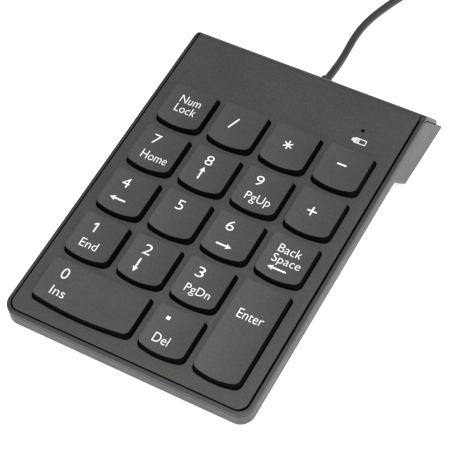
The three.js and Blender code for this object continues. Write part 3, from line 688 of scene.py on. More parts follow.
@dataclass
class Studio:
    """Camera, soft lights and a plain pale floor."""

    eye: Point = (0.17546, -0.289235, 0.410345)
    right: Point = (0.871145, 0.489931, -0.032776)
    down: Point = (0.361024, -0.684319, -0.633537)
    forward: Point = (-0.332819, 0.540069, -0.773018)
    lens: float = 131.6
    floor_size: float = 3.0
    floor_colour: Colour = (0.93, 0.93, 0.93)
    floor_glow: float = 0.6
    sky: float = 0.3

    def set_camera(self) -> None:
        """Stands the camera in its place."""
        camera = bpy.data.cameras.new("camera")
        camera.lens = self.lens
        camera.clip_start = 0.01
        obj = bpy.data.objects.new("camera", camera)
        turn = Matrix((self.right, -Vector(self.down), -Vector(self.forward))).transposed().to_4x4()
        obj.matrix_world = Matrix.Translation(self.eye) @ turn
        bpy.context.scene.collection.objects.link(obj)
        bpy.context.scene.camera = obj

    def lamp(self, name: str, place: Point, size: float, power: float, target: Point = (0, 0, 0.01)) -> None:
        """Hangs a square soft light.

        Args:
            name: the light's name.
            place: where it hangs, in metres.
            size: its side.
            power: its power in watts.
            target: what it faces.
        """
        light = bpy.data.lights.new(name, "AREA")
        light.shape = "SQUARE"
        light.size = size
        light.energy = power
        obj = bpy.data.objects.new(name, light)
        away = Vector(place) - Vector(target)
        obj.matrix_world = Matrix.Translation(place) @ away.to_track_quat("Z", "Y").to_matrix().to_4x4()
        bpy.context.scene.collection.objects.link(obj)

    def light(self) -> None:
        """Lights the floor and the part."""
        scene = bpy.context.scene
        scene.view_settings.view_transform = "Standard"
        scene.world = bpy.data.worlds.new("sky")
        scene.world.use_nodes = True
        back = scene.world.node_tree.nodes["Background"]
        back.inputs["Color"].default_value = (1, 1, 1, 1)
        back.inputs["Strength"].default_value = self.sky
        self.lamp("top_light", (0.25, -0.3, 1.0), 1.2, 15, (0.25, -0.25, 0))
        self.lamp("side_light", (0.75, -0.15, 0.3), 0.5, 2.0)
        self.lamp("front_light", (0.15, -0.75, 0.35), 0.4, 1.5)

    def lay_floor(self) -> None:
        """Lays the floor."""
        clear_bench()
        bpy.ops.mesh.primitive_plane_add(size=self.floor_size, location=(0, 0, -0.0002))
        bpy.ops.object.transform_apply(location=True, rotation=True, scale=True)
        floor = bpy.context.object
        floor.name = "floor"
        sheet = Sheet("floor_paper")
        pulp = sheet.noise(0.05, 3)
        colour = sheet.tint(shade(self.floor_colour, 0.99), self.floor_colour, pulp)
        floor.data.materials.append(sheet.dress(
            Base_Color=colour, Roughness=0.9, Emission_Color=(1, 1, 1, 1), Emission_Strength=self.floor_glow))


# ---------------------------------------------------------------- cable


@dataclass
class Cable:
    """The lead, its coil and the tie, plug and grommet on it. Sizes are in millimetres."""

    radius: float = 1.4
    length: float = 1500.0
    middle: tuple[float, float] = (28.0, 149.8)
    columns: tuple[float, ...] = (18.2, 15.4, 12.6, 9.8)
    layers: int = 4
    first_height: float = 2.1
    turn_points: int = 24
    shift_share: float = 0.36  # share of a turn in which the cable moves over by one place
    shift_lag: float = 0.1  # share of a turn between one such move and the next
    lead: tuple[Point, ...] = (
        (0, 67.3, 4.4), (0, 70.5, 4.2), (-0.3, 75, 3.2), (-0.9, 80.5, 1.9), (-1.5, 86, 1.5),
        (-2.1, 92, 1.45), (-2.1, 98, 1.45), (-1.2, 104, 1.45), (0.4, 110, 1.45), (2.4, 116, 1.45),
        (4.7, 122, 1.45), (6.8, 128, 1.45), (8.3, 133.5, 1.5), (9, 138, 1.6), (9.6, 143, 1.9),
    )
    tail: tuple[Point, ...] = (
        (33.5, 170.4, 10.2), (39.5, 168.4, 8.8), (44.5, 165.4, 7.1), (48.8, 162.2, 5.6),
        (52.2, 158, 4.5), (54.3, 153, 3.9), (55, 148, 3.8), (55, 144.6, 3.8), (55, 143.2, 3.8),
    )
    window: tuple[float, float, float] = (1.15, 4, 6.4)  # half width, start and end along the shell
    window_side: float = 2.75
    contact_half: float = 0.5
    contacts: tuple[tuple[float, float], ...] = ((-3.5, 1.0), (-1.0, 2.0), (1.0, 2.0), (3.5, 1.0))

    def places(self) -> list[tuple[float, float]]:
        """Lists the radius and height of each turn, layer by layer, in and out by turns."""
        rows = []
        for layer in range(self.layers):
            columns = self.columns if layer % 2 == 0 else self.columns[::-1]
            rows += [(radius, self.first_height + 2 * self.radius * layer) for radius in columns]
        return rows

    def coil(self) -> list[Point]:
        """Winds the coil.

        Each turn moves over to the next place late or early in the turn, by its layer, so that
        the place is free when the cable gets there.

        Returns:
            The points from the coil's start to where it leaves.
        """
        places = self.places()
        places[-1] = (self.columns[0] + 2 * self.radius, places[-1][1])
        points = []
        per_layer = len(self.columns)
        total = (len(places) - 1) * self.turn_points
        for index in range(total + self.turn_points // 4 + 1):
            turn, step = divmod(index, self.turn_points)
            share = step / self.turn_points
            layer, column = divmod(turn, per_layer)
            phase = 2 * (self.layers - 1 - layer) - (column == per_layer - 1)
            here = places[min(turn, len(places) - 1)]
            there = places[min(turn + 1, len(places) - 1)]
            over = min(max((share - self.shift_lag * phase) / self.shift_share, 0), 1)
            over = over * over * (3 - 2 * over)
            radius = here[0] + (there[0] - here[0]) * over
            height = here[1] + (there[1] - here[1]) * over
            angle = math.pi - 2 * math.pi * index / self.turn_points
            points.append((self.middle[0] + radius * math.cos(angle),
                           self.middle[1] + radius * math.sin(angle), height))
        return points

    def run(self) -> bpy.types.Object:
        """Lays the cable as one smooth curve."""
        curve = bpy.data.curves.new("cable", "CURVE")
        curve.dimensions = "3D"
        curve.bevel_depth = self.radius * MM
        curve.bevel_resolution = 3
        curve.resolution_u = 3
        curve.render_resolution_u = 3
        curve.use_fill_caps = True
        route = [*self.lead, *self.coil(), *self.tail]
        spline = curve.splines.new("NURBS")
        spline.points.add(len(route) - 1)
        for point, place in zip(spline.points, route):
            point.co = (*(c * MM for c in place), 1)
        spline.order_u = 4
        spline.use_endpoint_u = True
        cable = bpy.data.objects.new("cable", curve)
        bpy.context.scene.collection.objects.link(cable)
        cable.data.materials.append(JACKET.material())
        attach(cable, "housing")
        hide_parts("cable_lead", "cable_coil", "cable_end")
        return cable

    def grommet(self) -> Piece:
        """Turns the rubber sleeve that the cable leaves through."""
        low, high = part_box("cable_grommet")
        start, end = low.y / MM, high.y / MM
        height = (low.z + high.z) / 2 / MM
        profile = [(1.5, start), (2.5, start), (2.5, start + 1.7), (2.0, start + 1.9), (2.0, end - 0.9),
                   (2.15, end - 0.7), (2.15, end - 0.3), (1.9, end), (1.6, end), (1.5, end - 0.2)]
        points = [(0, y, height + r) for r, y in [*profile, profile[0]]]
        piece = Piece.turned("grommet", points, (0, 0, height), (0, 1, 0))
        piece.finish(DESK, JACKET)
        piece.hand_over("housing", "cable_jacket", "cable_grommet")
        return piece

    def tie(self) -> Piece:
        """Wraps the strap round the coil's far side."""
        low, high = corners("cable_tie")
        piece = Piece.block("tie", low, high)
        piece.pick(Kind.EDGE, runs(1)).bevel(1.6, 4)
        piece.pick(Kind.FACE, lambda f: abs(f.normal.y) > 0.9).inset(0.55)
        piece.pick(Kind.FACE, lambda f: abs(f.normal.y) > 0.9 and f.calc_area() > 60)
        bpy.ops.mesh.bridge_edge_loops()
        flap_low = (low[0] + 3, low[1] + 0.3, high[2] + 0.02)
        flap = Piece.block("flap", flap_low, (high[0] - 2.5, high[1] - 0.3, high[2] + 0.5))
        flap.pick(Kind.EDGE, runs(2, 0.1)).bevel(1.2, 4)
        flap.soften(0.12)
        piece.soften(0.12).gather([flap])
        piece.finish(DESK, STRAP)
        piece.hand_over("housing", "tie_rubber", "cable_tie")
        return piece

    def plug(self) -> list[Piece]:
        """Makes the plug: grip with its ribbed neck, steel shell, tongue and contacts."""
        x, _, z = self.tail[-1]
        low, high = corners("plug_body")
        grip = Piece.block("plug_grip", low, (high[0], high[1] - 4.7, high[2]))
        grip.pick(Kind.EDGE, runs(1)).bevel(1.5, 5)
        grip.pick(Kind.FACE, lambda f: f.normal.y > 0.9).extrude(y=1.2)
        grip.resize((0.82, 1, 0.78), (x, high[1], z))
        grip.pick(Kind.FACE, lambda f: abs(f.normal.x) > 0.95 and f.calc_area() > 20).inset(0.9)
        grip.pick(Kind.FACE, lambda f: abs(f.normal.x) > 0.95 and 10 < f.calc_area() < 60)
        grip.resize((0.95, 1, 1), (x, high[1], z))
        grip.soften(0.3, 3)
        ribs = 4
        profile = [(0, high[1] - 4.8), (2.6, high[1] - 4.8)]
        for rib in range(ribs):
            y = high[1] - 4.4 + rib * 1.05
            radius = 2.6 - 0.12 * rib
            profile += [(radius, y), (radius, y + 0.55), (radius - 0.45, y + 0.65), (radius - 0.45, y + 0.95)]
        profile += [(1.75, high[1]), (1.45, high[1]), (0, high[1] - 0.6)]
        neck = Piece.turned("neck", [(x, y, z + r) for r, y in profile], (x, 0, z), (0, 1, 0))
        grip.combine(neck, "UNION").finish(DESK, PLUG_PLASTIC)
        grip.hand_over("housing", "plug_plastic", "plug_body")

        low, high = corners("plug_shell")
        shell = Piece.block("plug_shell_steel", low, high)
        shell.pick(Kind.EDGE, runs(1)).bevel(0.5, 4)
        shell.pick(Kind.FACE, lambda f: f.normal.y < -0.9).inset(0.3).extrude(y=high[1] - low[1] - 0.6)
        half, start, end = self.window
        windows = []
        for middle in (x - self.window_side, x + self.window_side):
            window_low = (middle - half, low[1] + start, z - 4)
            windows.append(Piece.block("window", window_low, (middle + half, low[1] + end, z + 4)))
        shell.combine(windows[0].gather(windows[1:])).soften(0.08)
        shell.finish(DESK, PLUG_STEEL)
        shell.hand_over("housing", "plug_steel", "plug_shell")

        low, high = corners("plug_tongue")
        tongue = Piece.block("plug_tongue_plastic", low, high)
        tongue.pick(Kind.EDGE, lambda e: e.verts[0].co.y < low[1] + 0.1 and e.verts[1].co.y < low[1] + 0.1)
        tongue.bevel(0.35, 2)
        tongue.finish(DESK, INSULATOR)
        tongue.hand_over("housing", "plug_insulator", "plug_tongue")
        pads = []
        for place, reach in self.contacts:
            front = low[1] + 2.6 - reach
            pad_low = (x + place - self.contact_half, front, low[2] - 0.12)
            pad_high = (x + place + self.contact_half, high[1] - 3, low[2] + 0.1)
            pads.append(Piece.block("pad", pad_low, pad_high).soften(0.05))
        contacts = pads[0].gather(pads[1:])
        contacts.rename("plug_contacts")
        contacts.finish(DESK, CONTACT_GOLD)
        contacts.hand_over("housing", "plug_steel")
        return [grip, shell, tongue, contacts]

    def build(self) -> None:
        """Makes the cable and all that is on it."""
        cable = self.run()
        grommet, tie = self.grommet(), self.tie()
        plug = self.plug()
        log.info("cable laid, grommet %s", grommet.obj.name)


# ---------------------------------------------------------------- keys


@dataclass(frozen=True)
class Outline:
    """A key's outline about its grid point: straight rear and sides, and a bowed front."""

    half: float
    rear: float
    front: float
    rear_radius: float
    front_radius: float
    sag: float = 1.3

    def span(self, wide: int, tall: int) -> tuple[float, float]:
        """Gives the outline's width and depth over some columns and rows."""
        return self.half * 2 + PITCH * (wide - 1), self.rear - self.front + PITCH * (tall - 1)

    def draw(self, name: str, z: float, wide: int = 1, tall: int = 1) -> Piece:
        """Draws the outline as one face.

        Args:
            name: the piece's name.
            z: its height.
            wide: how many columns it spans.
            tall: how many rows it spans.

        Returns:
            A flat piece.
        """
        x = (-self.half, self.half + PITCH * (wide - 1))
        y = (self.front + self.sag, self.rear + PITCH * (tall - 1))
        piece = Piece.sheet(name, x, y, z)
        piece.pick(Kind.VERT, lambda v: v.co.y > y[0] + 1).bevel(self.rear_radius, 5, corners=True)
        piece.pick(Kind.VERT, lambda v: v.co.y < y[0] + 0.01).bevel(self.front_radius, 6, corners=True)
        piece.pick(Kind.EDGE, lambda e: all(v.co.y < y[0] + 0.01 for v in e.verts))
        bpy.ops.mesh.subdivide(number_cuts=15)
        middle, half = (x[0] + x[1]) / 2, (x[1] - x[0]) / 2
        piece.pick(Kind.VERT, lambda v: v.co.y < y[0] + 0.01 and abs(v.co.x - middle) < 0.1)
        return piece.move(y=-self.sag, reach=half)


TOP_OUTLINE = Outline(7.7, 8.6, -7.2, 1.1, 1.5)
SKIRT_OUTLINE = Outline(8.05, 8.85, -7.5, 1.2, 1.6)
OPENING_OUTLINE = Outline(8.4, 9.2, -7.85, 1.4, 1.8)


class Shape(Enum):
    """The three sizes of keycap, in columns and rows."""

    SINGLE = (1, 1)
    WIDE = (2, 1)
    TALL = (1, 2)


@dataclass(frozen=True)
class Words:
    """A line of lettering and the box that it fills, about the key's grid point."""

    text: str
    x: tuple[float, float]
    y: tuple[float, float]


@dataclass(frozen=True)
class Arrow:
    """An arrow from its round tail to its tip."""

    tail: tuple[float, float]
    tip: tuple[float, float]


@dataclass(frozen=True)
class Bar:
    """A straight stroke between two points."""

    start: tuple[float, float]
    end: tuple[float, float]
    width: float = 0.52


Mark = Words | Arrow | Bar


@dataclass(frozen=True)
class Key:
    """One key: its body, its place on the grid, its shape and its legend."""

    body: str
    column: int
    row: int
    marks: tuple[Mark, ...]
    shape: Shape = Shape.SINGLE

    def place(self) -> Matrix:
        """Gives the way from a keycap drawn about its grid point to its place on the plate."""
        return PLATE @ Matrix.Translation(((self.column - 1.5) * PITCH, self.row * PITCH, 0))


def digit(text: str, left: float = -3.65, right: float = -1.05) -> Words:
    """Gives a digit at the usual place on its key."""
    return Words(text, (left, right), (2.4, 6.1))


KEYS = (
    Key("key_0", 0, 0, (Words("0", (-2.85, -0.45), (2.5, 6.3)),
                        Words("Ins", (-2.75, 2.25), (-3.7, -0.6))), Shape.WIDE),
    Key("key_decimal", 2, 0, (Bar((-3.75, 4.8), (-2.5, 4.8), 1.15),
                              Words("Del", (-3.95, 1.25), (-4.1, -0.9)))),
    Key("key_1", 0, 1, (Bar((-2.1, 2.4), (-2.1, 6.1), 0.5), Bar((-3.2, 5.05), (-2.2, 5.95), 0.42),
                        Words("End", (-3.85, 2.25), (-3.6, -0.6)))),
    Key("key_2", 1, 1, (digit("2", -3.45, -0.75), Arrow((-2.45, 0.7), (-2.45, -4.6)))),
    Key("key_3", 2, 1, (digit("3"), Words("PgDn", (-4.05, 4.55), (-4.5, -0.7)))),
    Key("key_enter", 3, 0, (Words("Enter", (-4.25, 4.45), (14.3, 17.6)),), Shape.TALL),
    Key("key_4", 0, 2, (digit("4"), Arrow((1.15, -2.4), (-4.45, -2.4)))),
    Key("key_5", 1, 2, (digit("5", -2.65, -0.25),)),
    Key("key_6", 2, 2, (digit("6"), Arrow((-3.55, -3.1), (1.85, -3.1)))),
    Key("key_backspace", 3, 2, (Words("Back", (-4.05, 3.75), (2.4, 5.4)),
                                Words("Space", (-4.25, 5.35), (-2.4, 1.5)),
                                Arrow((2.15, -3.6), (-4.25, -3.6)))),
    Key("key_7", 0, 3, (digit("7"), Words("Home", (-3.95, 5.35), (-3.9, -0.7)))),
    Key("key_8", 1, 3, (digit("8", -2.85, -0.25), Arrow((-1.79, -3.6), (-1.79, 1.4)))),
    Key("key_9", 2, 3, (digit("9"), Words("PgUp", (-3.85, 4.95), (-4.7, -0.7)))),
    Key("key_add", 3, 3, (Bar((-2.75, 1.05), (0.45, 1.05)), Bar((-1.15, -0.6), (-1.15, 2.7)))),
    Key("key_num_lock", 0, 4, (Words("Num", (-3.55, 3.85), (2.0, 5.1)),
                               Words("Lock", (-3.55, 3.95), (-1.9, 1.2)))),
    Key("key_divide", 1, 4, (Bar((-2.75, -0.5), (-0.95, 4.0)),)),
    Key("key_multiply", 2, 4, (Bar((-0.85, -0.1), (-0.85, 3.3), 0.42), Bar((-2.3, 0.75), (0.6, 2.45), 0.42),
                               Bar((-2.3, 2.45), (0.6, 0.75), 0.42))),
    Key("key_subtract", 3, 4, (Bar((-2.45, 2.0), (0.75, 2.0), 0.56),)),
)


@dataclass
class Keyboard:
    """The keycaps and their legends."""

    top: float = 2.55
    skirt: float = -0.6
    roof: float = 1.3
    wall: float = 1.1
    dish: float = 0.42  # how far the top sinks across its width
    edge: float = 0.32
    strip: float = 1.9  # width of the dish's facets
    join: float = 0.18  # corners of the top closer than this become one
    stem_radius: float = 2.8
    stem_end: float = -2.0
    stem_y: float = 0.7
    ink: float = 0.05
    coat_limit: float = 0.8  # faces that lean further than this get the near-black side finish: the skirts, and the brow's outer facets as a painted shade line along the top edge
    masters: dict[Shape, Piece] = field(default_factory=dict)

    def dish_cutter(self, shape: Shape) -> Piece:
        """Makes the long lying cylinder that dishes a keycap's top."""
        wide, tall = shape.value
        half = TOP_OUTLINE.half + PITCH * (wide - 1) / 2
        radius = half * half / (2 * self.dish)
        clear_bench()
        middle = (PITCH * (wide - 1) / 2, PITCH * (tall - 1) / 2, self.top - self.dish + radius)
        sides = 4 * round(math.pi * radius / (2 * self.strip))
        bpy.ops.mesh.primitive_cylinder_add(vertices=sides, radius=radius, depth=60,
                                            location=middle, rotation=(math.pi / 2, 0, 0))
        bpy.ops.object.transform_apply(location=True, rotation=True, scale=True)
        return Piece("dish")

    def cap(self, shape: Shape) -> Piece:
        """Models one keycap about its grid point.

        Args:
            shape: which size it is.

        Returns:
            The hollow cap with its stem.
        """
        wide, tall = shape.value
        cap = SKIRT_OUTLINE.draw(f"keycap_{shape.name.lower()}", self.skirt, wide, tall)
        low, high = SKIRT_OUTLINE.span(wide, tall), TOP_OUTLINE.span(wide, tall)
        rear_drop = SKIRT_OUTLINE.rear - TOP_OUTLINE.rear
        fixed_y = (SKIRT_OUTLINE.rear + PITCH * (tall - 1)) - rear_drop / (1 - high[1] / low[1])
        cap.pick(Kind.FACE).extrude(z=self.top - self.skirt)
        cap.resize((high[0] / low[0], high[1] / low[1], 1), (PITCH * (wide - 1) / 2, fixed_y, self.top))
        cap.tidy_faces()
        cap.combine(self.dish_cutter(shape))
        cap.pick(Kind.VERT, lambda v: v.co.z > self.top - self.dish - self.join)
        bpy.ops.mesh.remove_doubles(threshold=self.join)
        cap.pick(Kind.EDGE, self.is_brow).bevel(self.edge, 3)
        cap.pick(Kind.FACE, lambda f: f.normal.z < -0.9).inset(self.wall).extrude(z=self.roof - self.skirt)
        middle = (PITCH * (wide - 1) / 2, PITCH * (tall - 1) / 2 + self.stem_y)
        stem = Piece.rod("stem", (*middle, self.stem_end), self.stem_radius, self.roof - self.stem_end + 0.2)
        stem.pick(Kind.FACE, lambda f: f.normal.z < -0.9).inset(0.9).extrude(z=2.2)
        cap.combine(stem, "UNION")
        return cap

    @staticmethod
    def is_brow(edge: bmesh.types.BMEdge) -> bool:
        """Says whether an edge lies between a keycap's top and its sides."""
        ups = sorted(face.normal.z for face in edge.link_faces)
        return len(ups) == 2 and ups[0] < 0.5 and ups[1] > 0.9

    def stroke(self, mark: Bar | Arrow) -> Piece:
        """Draws a bar, or an arrow with a slightly barbed head, as a flat outline."""
        start, end = (mark.start, mark.end) if isinstance(mark, Bar) else (mark.tail, mark.tip)
        along = Vector((end[0] - start[0], end[1] - start[1], 0))
        length = along.length
        if isinstance(mark, Bar):
            half = mark.width / 2
            outline = [(0, -half), (length, -half), (length, half), (0, half)]
        else:
            shaft, head, barb, reach = 0.28, 0.95, 0.3, 1.9
            neck = length - reach
            outline = [(0.1, -shaft * 0.7), (0.25, -shaft), (neck + barb, -shaft), (neck, -head), (length, 0),
                       (neck, head), (neck + barb, shaft), (0.25, shaft), (0.1, shaft * 0.7), (0, 0)]
        along.normalize()
        side = Vector((-along.y, along.x, 0))
        base = Vector((*start, 0))
        return Piece.trace("stroke", [tuple(base + along * a + side * b) for a, b in outline])

    def words(self, mark: Words) -> Piece:
        """Sets a line of lettering and fits it to its box."""
        clear_bench()
        bpy.ops.object.text_add()
        text = bpy.context.object
        text.data.body = mark.text
        text.data.offset = -0.009
        text.data.resolution_u = 4
        bpy.ops.object.convert(target="MESH")
        piece = Piece("words")
        xs = [v.co.x for v in piece.obj.data.vertices]
        ys = [v.co.y for v in piece.obj.data.vertices]
        wide, tall = max(xs) - min(xs), max(ys) - min(ys)
        scale = ((mark.x[1] - mark.x[0]) / wide, (mark.y[1] - mark.y[0]) / tall, 1)
        piece.pick(Kind.VERT).resize(scale, (0, 0, 0))
        piece.move(mark.x[0] - min(xs) * scale[0], mark.y[0] - min(ys) * scale[1])
        return piece

    def legend(self, key: Key) -> Piece:
        """Makes a key's legend as a thin skin of ink on its dished top."""
        flats = [self.words(m) if isinstance(m, Words) else self.stroke(m) for m in key.marks]
        legend = flats[0].gather(flats[1:])
        legend.rename(key.body.replace("key", "legend", 1))
        legend.pick(Kind.FACE)
        bpy.ops.mesh.quads_convert_to_tris()
        legend.pick(Kind.FACE, lambda f: f.normal.z < 0)
        bpy.ops.mesh.flip_normals()
        legend.pick(Kind.VERT).move(z=10)
        legend.modify(
            "SHRINKWRAP", target=self.masters[key.shape].obj, wrap_method="PROJECT", use_project_z=True,
            use_negative_direction=True, use_positive_direction=False, offset=0.0)
        legend.modify("SOLIDIFY", thickness=self.ink, offset=0.3)
        return legend

    def build(self) -> None:
        """Makes the three keycaps, then copies one to each place with its own legend."""
        for shape in Shape:
            cap = self.cap(shape)
            # the sides are near-black, and so are the brow's outer facets, which paints a thin shade line
            # along each top edge
            self.masters[shape] = cap.coat(KEY_TOP, SIDE_BLACK_AND_PAINTED_SHADE, lambda f: f.normal.z < self.coat_limit).close()
            log.info("keycap %s modelled, %d faces", shape.name.lower(), len(cap.obj.data.polygons))
        for key in KEYS:
            self.legend(key).finish(key.place(), INK, smooth=60).hand_over(key.body, "keycap_plastic")
            cap = self.masters[key.shape].copy(key.body.replace("key", "keycap", 1))
            cap.finish(key.place(), smooth=28).hand_over(key.body, "keycap_plastic", key.body)
        for cap in self.masters.values():
            bpy.data.objects.remove(cap.obj)


# ---------------------------------------------------------------- housing


@dataclass(frozen=True)
class Plan:
    """A plan in the housing with rounded front corners: half its width, its front, their radius."""

    half: float
    front: float
    radius: float

    def solid(self, name: str, rear: float, z: tuple[float, float], steps: int) -> Piece:
        """Makes a solid of the plan.

        Args:
            name: the piece's name.
            rear: its square rear.
            z: its underside and top.
            steps: segments of each corner.

        Returns:
            The solid.
        """
        piece = Piece.sheet(name, (-self.half, self.half), (self.front, rear), z[0])
        piece.pick(Kind.VERT, lambda v: v.co.y < self.front + 0.1).bevel(self.radius, steps, corners=True)
        piece.pick(Kind.FACE).extrude(z=z[1] - z[0])
        return piece.tidy_faces()


def across(name: str, profile: Sequence[tuple[float, float]], half: float) -> Piece:
    """Makes a solid of a side profile, centred across the housing."""
    piece = Piece.trace(name, [(-half, y, z) for y, z in profile])
    piece.pick(Kind.FACE).extrude(x=2 * half)
    return piece.tidy_faces()


@dataclass
class FacePanel:
    """The face panel with its key openings, rolled rear edge and apron."""

    half: float = 41.1
    wide_half: float = 43.0
    front: float = -12.2
    radius: float = 3.3
    thickness: float = 1.4
    roll_y: float = 106.7
    roll_radius: float = 3.5
    slope: float = 55.0  # degrees that the roll turns through
    apron_end: float = -12.3
    edge: float = 0.14
    end_edge: float = 0.9
    groove: float = 0.6
    groove_depth: float = 1.0
    groove_end: float = 108.3
    indicator: tuple[float, float] = (26.95, 94.3)

    def skin(self) -> Piece:
        """Draws the panel's outer skin from its front to the apron's end."""
        strip = 0.15
        start = self.roll_y - strip
        piece = Piece.sheet("face_plate", (-self.wide_half, self.wide_half), (start, self.roll_y), 0)
        for side in (-1, 1):
            piece.bisect((side * self.half, 0, 0), (1, 0, 0))
        piece.pick(Kind.EDGE, lambda e: all(
            v.co.y < start + 0.01 and abs(v.co.x) < self.half + 0.01 for v in e.verts))
        piece.extrude(y=self.front - start)
        piece.pick(Kind.VERT, lambda v: v.co.y < self.front + 0.1).bevel(self.radius, 10, corners=True)
        piece.pick(Kind.EDGE, lambda e: all(v.co.y > self.roll_y - 0.01 for v in e.verts))
        piece.spin((0, self.roll_y, -self.roll_radius), (1, 0, 0), self.slope, 14)
        turned = math.radians(self.slope)
        end_z = -self.roll_radius + self.roll_radius * math.cos(turned)
        end_y = self.roll_y + self.roll_radius * math.sin(turned)
        drop = end_z - self.apron_end
        piece.pick(Kind.EDGE, lambda e: all(v.co.z < end_z + 0.01 and v.co.y > end_y - 0.05 for v in e.verts))
        piece.extrude(y=drop / math.tan(turned), z=-drop)
        return piece

    def is_end(self, edge: bmesh.types.BMEdge) -> bool:
        """Says whether an edge is on the outer surface at the roll's two ends."""
        sides = sorted(abs(face.normal.x) for face in edge.link_faces)
        outwards = any(
            face.normal.x ** 2 < 0.1 and face.normal.y + face.normal.z > 0.5 for face in edge.link_faces)
        return len(sides) == 2 and sides[0] < 0.1 and sides[1] > 0.9 and outwards and all(
            abs(v.co.x) > self.wide_half - 0.01 for v in edge.verts)

    def is_wall(self, face: bmesh.types.BMFace) -> bool:
        """Says whether a face is upright in an opening or beside the groove, where near-black is painted as
        the shade down in them.
        """
        return abs(face.normal.z) < 0.6 and face.calc_center_median().y < self.roll_y + 1 and abs(
            face.calc_center_median().x) < self.wide_half - 1

    def build(self) -> None:
        """Makes the panel."""
        panel = self.skin().tidy_faces()
        panel.pick(Kind.FACE)
        bpy.ops.mesh.normals_make_consistent(inside=False)
        top = next(f for f in bmesh.from_edit_mesh(panel.obj.data).faces if abs(f.normal.z) > 0.9)
        if top.normal.z < 0:
            bpy.ops.mesh.flip_normals()
        panel.modify("SOLIDIFY", thickness=self.thickness, offset=-1, use_even_offset=True)
        panel.pick(Kind.EDGE, self.is_end).bevel(self.end_edge, 4)
        openings = []
        for key in KEYS:
            hole = OPENING_OUTLINE.draw("opening", -3, *key.shape.value)
            hole.pick(Kind.FACE).extrude(z=4)
            hole.tidy_faces()
            hole.pick(Kind.VERT).move((key.column - 1.5) * PITCH, key.row * PITCH)
            openings.append(hole)
        openings.append(Piece.rod("pin_hole", (*self.indicator, -3), 0.7, 4, 24))
        for side in (-1, 1):
            ends = sorted((side * self.half, side * (self.half + self.groove)))
            low = (ends[0], self.front, -self.groove_depth)
            openings.append(Piece.block("groove", low, (ends[1], self.groove_end, 1)))
        panel.combine(openings[0].gather(openings[1:]))
        panel.tidy_faces().soften(self.edge, 2, 50)
        # the walls of the openings and the groove are painted near-black as painted shade
        panel.coat(PANEL, SIDE_BLACK_AND_PAINTED_SHADE, self.is_wall).finish(PLATE)
        panel.hand_over("housing", "panel_plastic", "face_panel")


@dataclass
class Pictogram:
    """The printed battery beside the indicator, partly full."""

    x: tuple[float, float] = (26.0, 30.15)
    y: tuple[float, float] = (89.0, 91.1)
    line: float = 0.27
    nub: tuple[float, float] = (0.8, 1.25)
    charge: float = 0.44  # share of the body that is filled
    ink: float = 0.05

    def build(self) -> None:
        """Prints the pictogram."""
        z = -0.02
        body = Piece.sheet("battery_mark", self.x, self.y, z)
        middle_y = (self.y[0] + self.y[1]) / 2
        body.pick(Kind.VERT).bevel(0.3, 3, corners=True)
        body.pick(Kind.FACE).inset(self.line)
        bpy.ops.mesh.delete(type="FACE")
        charge_end = self.x[0] + self.charge * (self.x[1] - self.x[0])
        charge = Piece.sheet("charge", (self.x[0] + self.line + 0.02, charge_end),
                             (self.y[0] + self.line + 0.02, self.y[1] - self.line - 0.02), z)
        nub = Piece.sheet("nub", (self.x[0] - self.nub[0], self.x[0] + 0.01),
                          (middle_y - self.nub[1] / 2, middle_y + self.nub[1] / 2), z)
        nub.pick(Kind.VERT, lambda v: v.co.x < self.x[0] - 0.1).bevel(0.25, 3, corners=True)
        nub.pick(Kind.FACE).inset(0.3)
        bpy.ops.mesh.delete(type="FACE")
        for mark, ink in ((body.gather([nub]), INK), (charge, PALE_INK)):
            mark.pick(Kind.FACE, lambda f: f.normal.z < 0)
            bpy.ops.mesh.flip_normals()
            mark.modify("SOLIDIFY", thickness=self.ink, offset=1)
            mark.finish(PLATE, ink)
            mark.hand_over("housing", "panel_plastic")


@dataclass
class Rim:
    """The frame round the panel, with its softly rounded outer edge and its hidden ledge."""

    outer: Plan = Plan(43.0, -13.85, 4.8)
    rear: float = 106.4
    top: float = -0.2
    parting: float = -1.25
    edge: float = 0.6
    web: Plan = Plan(42.2, -13.05, 4.0)
    web_z: float = -2.6
    inside: Plan = Plan(41.8, -12.65, 3.7)
    ledge_z: float = -1.8
    window: Plan = Plan(40.0, -11.1, 2.5)

    def build(self) -> None:
        """Makes the frame."""
        rim = self.outer.solid("rim", self.rear, (self.parting, self.top), 14)
        rim.pick(Kind.EDGE, self.is_outer).bevel(self.edge, 5)
        rim.combine(self.web.solid("web", self.rear, (self.web_z, self.parting + 0.1), 12), "UNION")
        rim.combine(self.inside.solid("inside", self.rear + 1, (self.ledge_z, 1), 12))
        rim.combine(self.window.solid("window", self.rear + 1, (-4, 0), 8))
        rim.soften(0.08, 2, 60)
        rim.coat(RIM, SIDE_BLACK_AND_PAINTED_SHADE, lambda f: f.calc_center_median().z < self.parting - 0.02)
        rim.finish(PLATE)
        rim.hand_over("housing", "rim_plastic", "rim_frame")

    def is_outer(self, edge: bmesh.types.BMEdge) -> bool:
        """Says whether an edge is on the top's outline, the rear apart."""
        return all(v.co.z > self.top - 0.01 for v in edge.verts) and not all(
            v.co.y > self.rear - 0.1 for v in edge.verts)


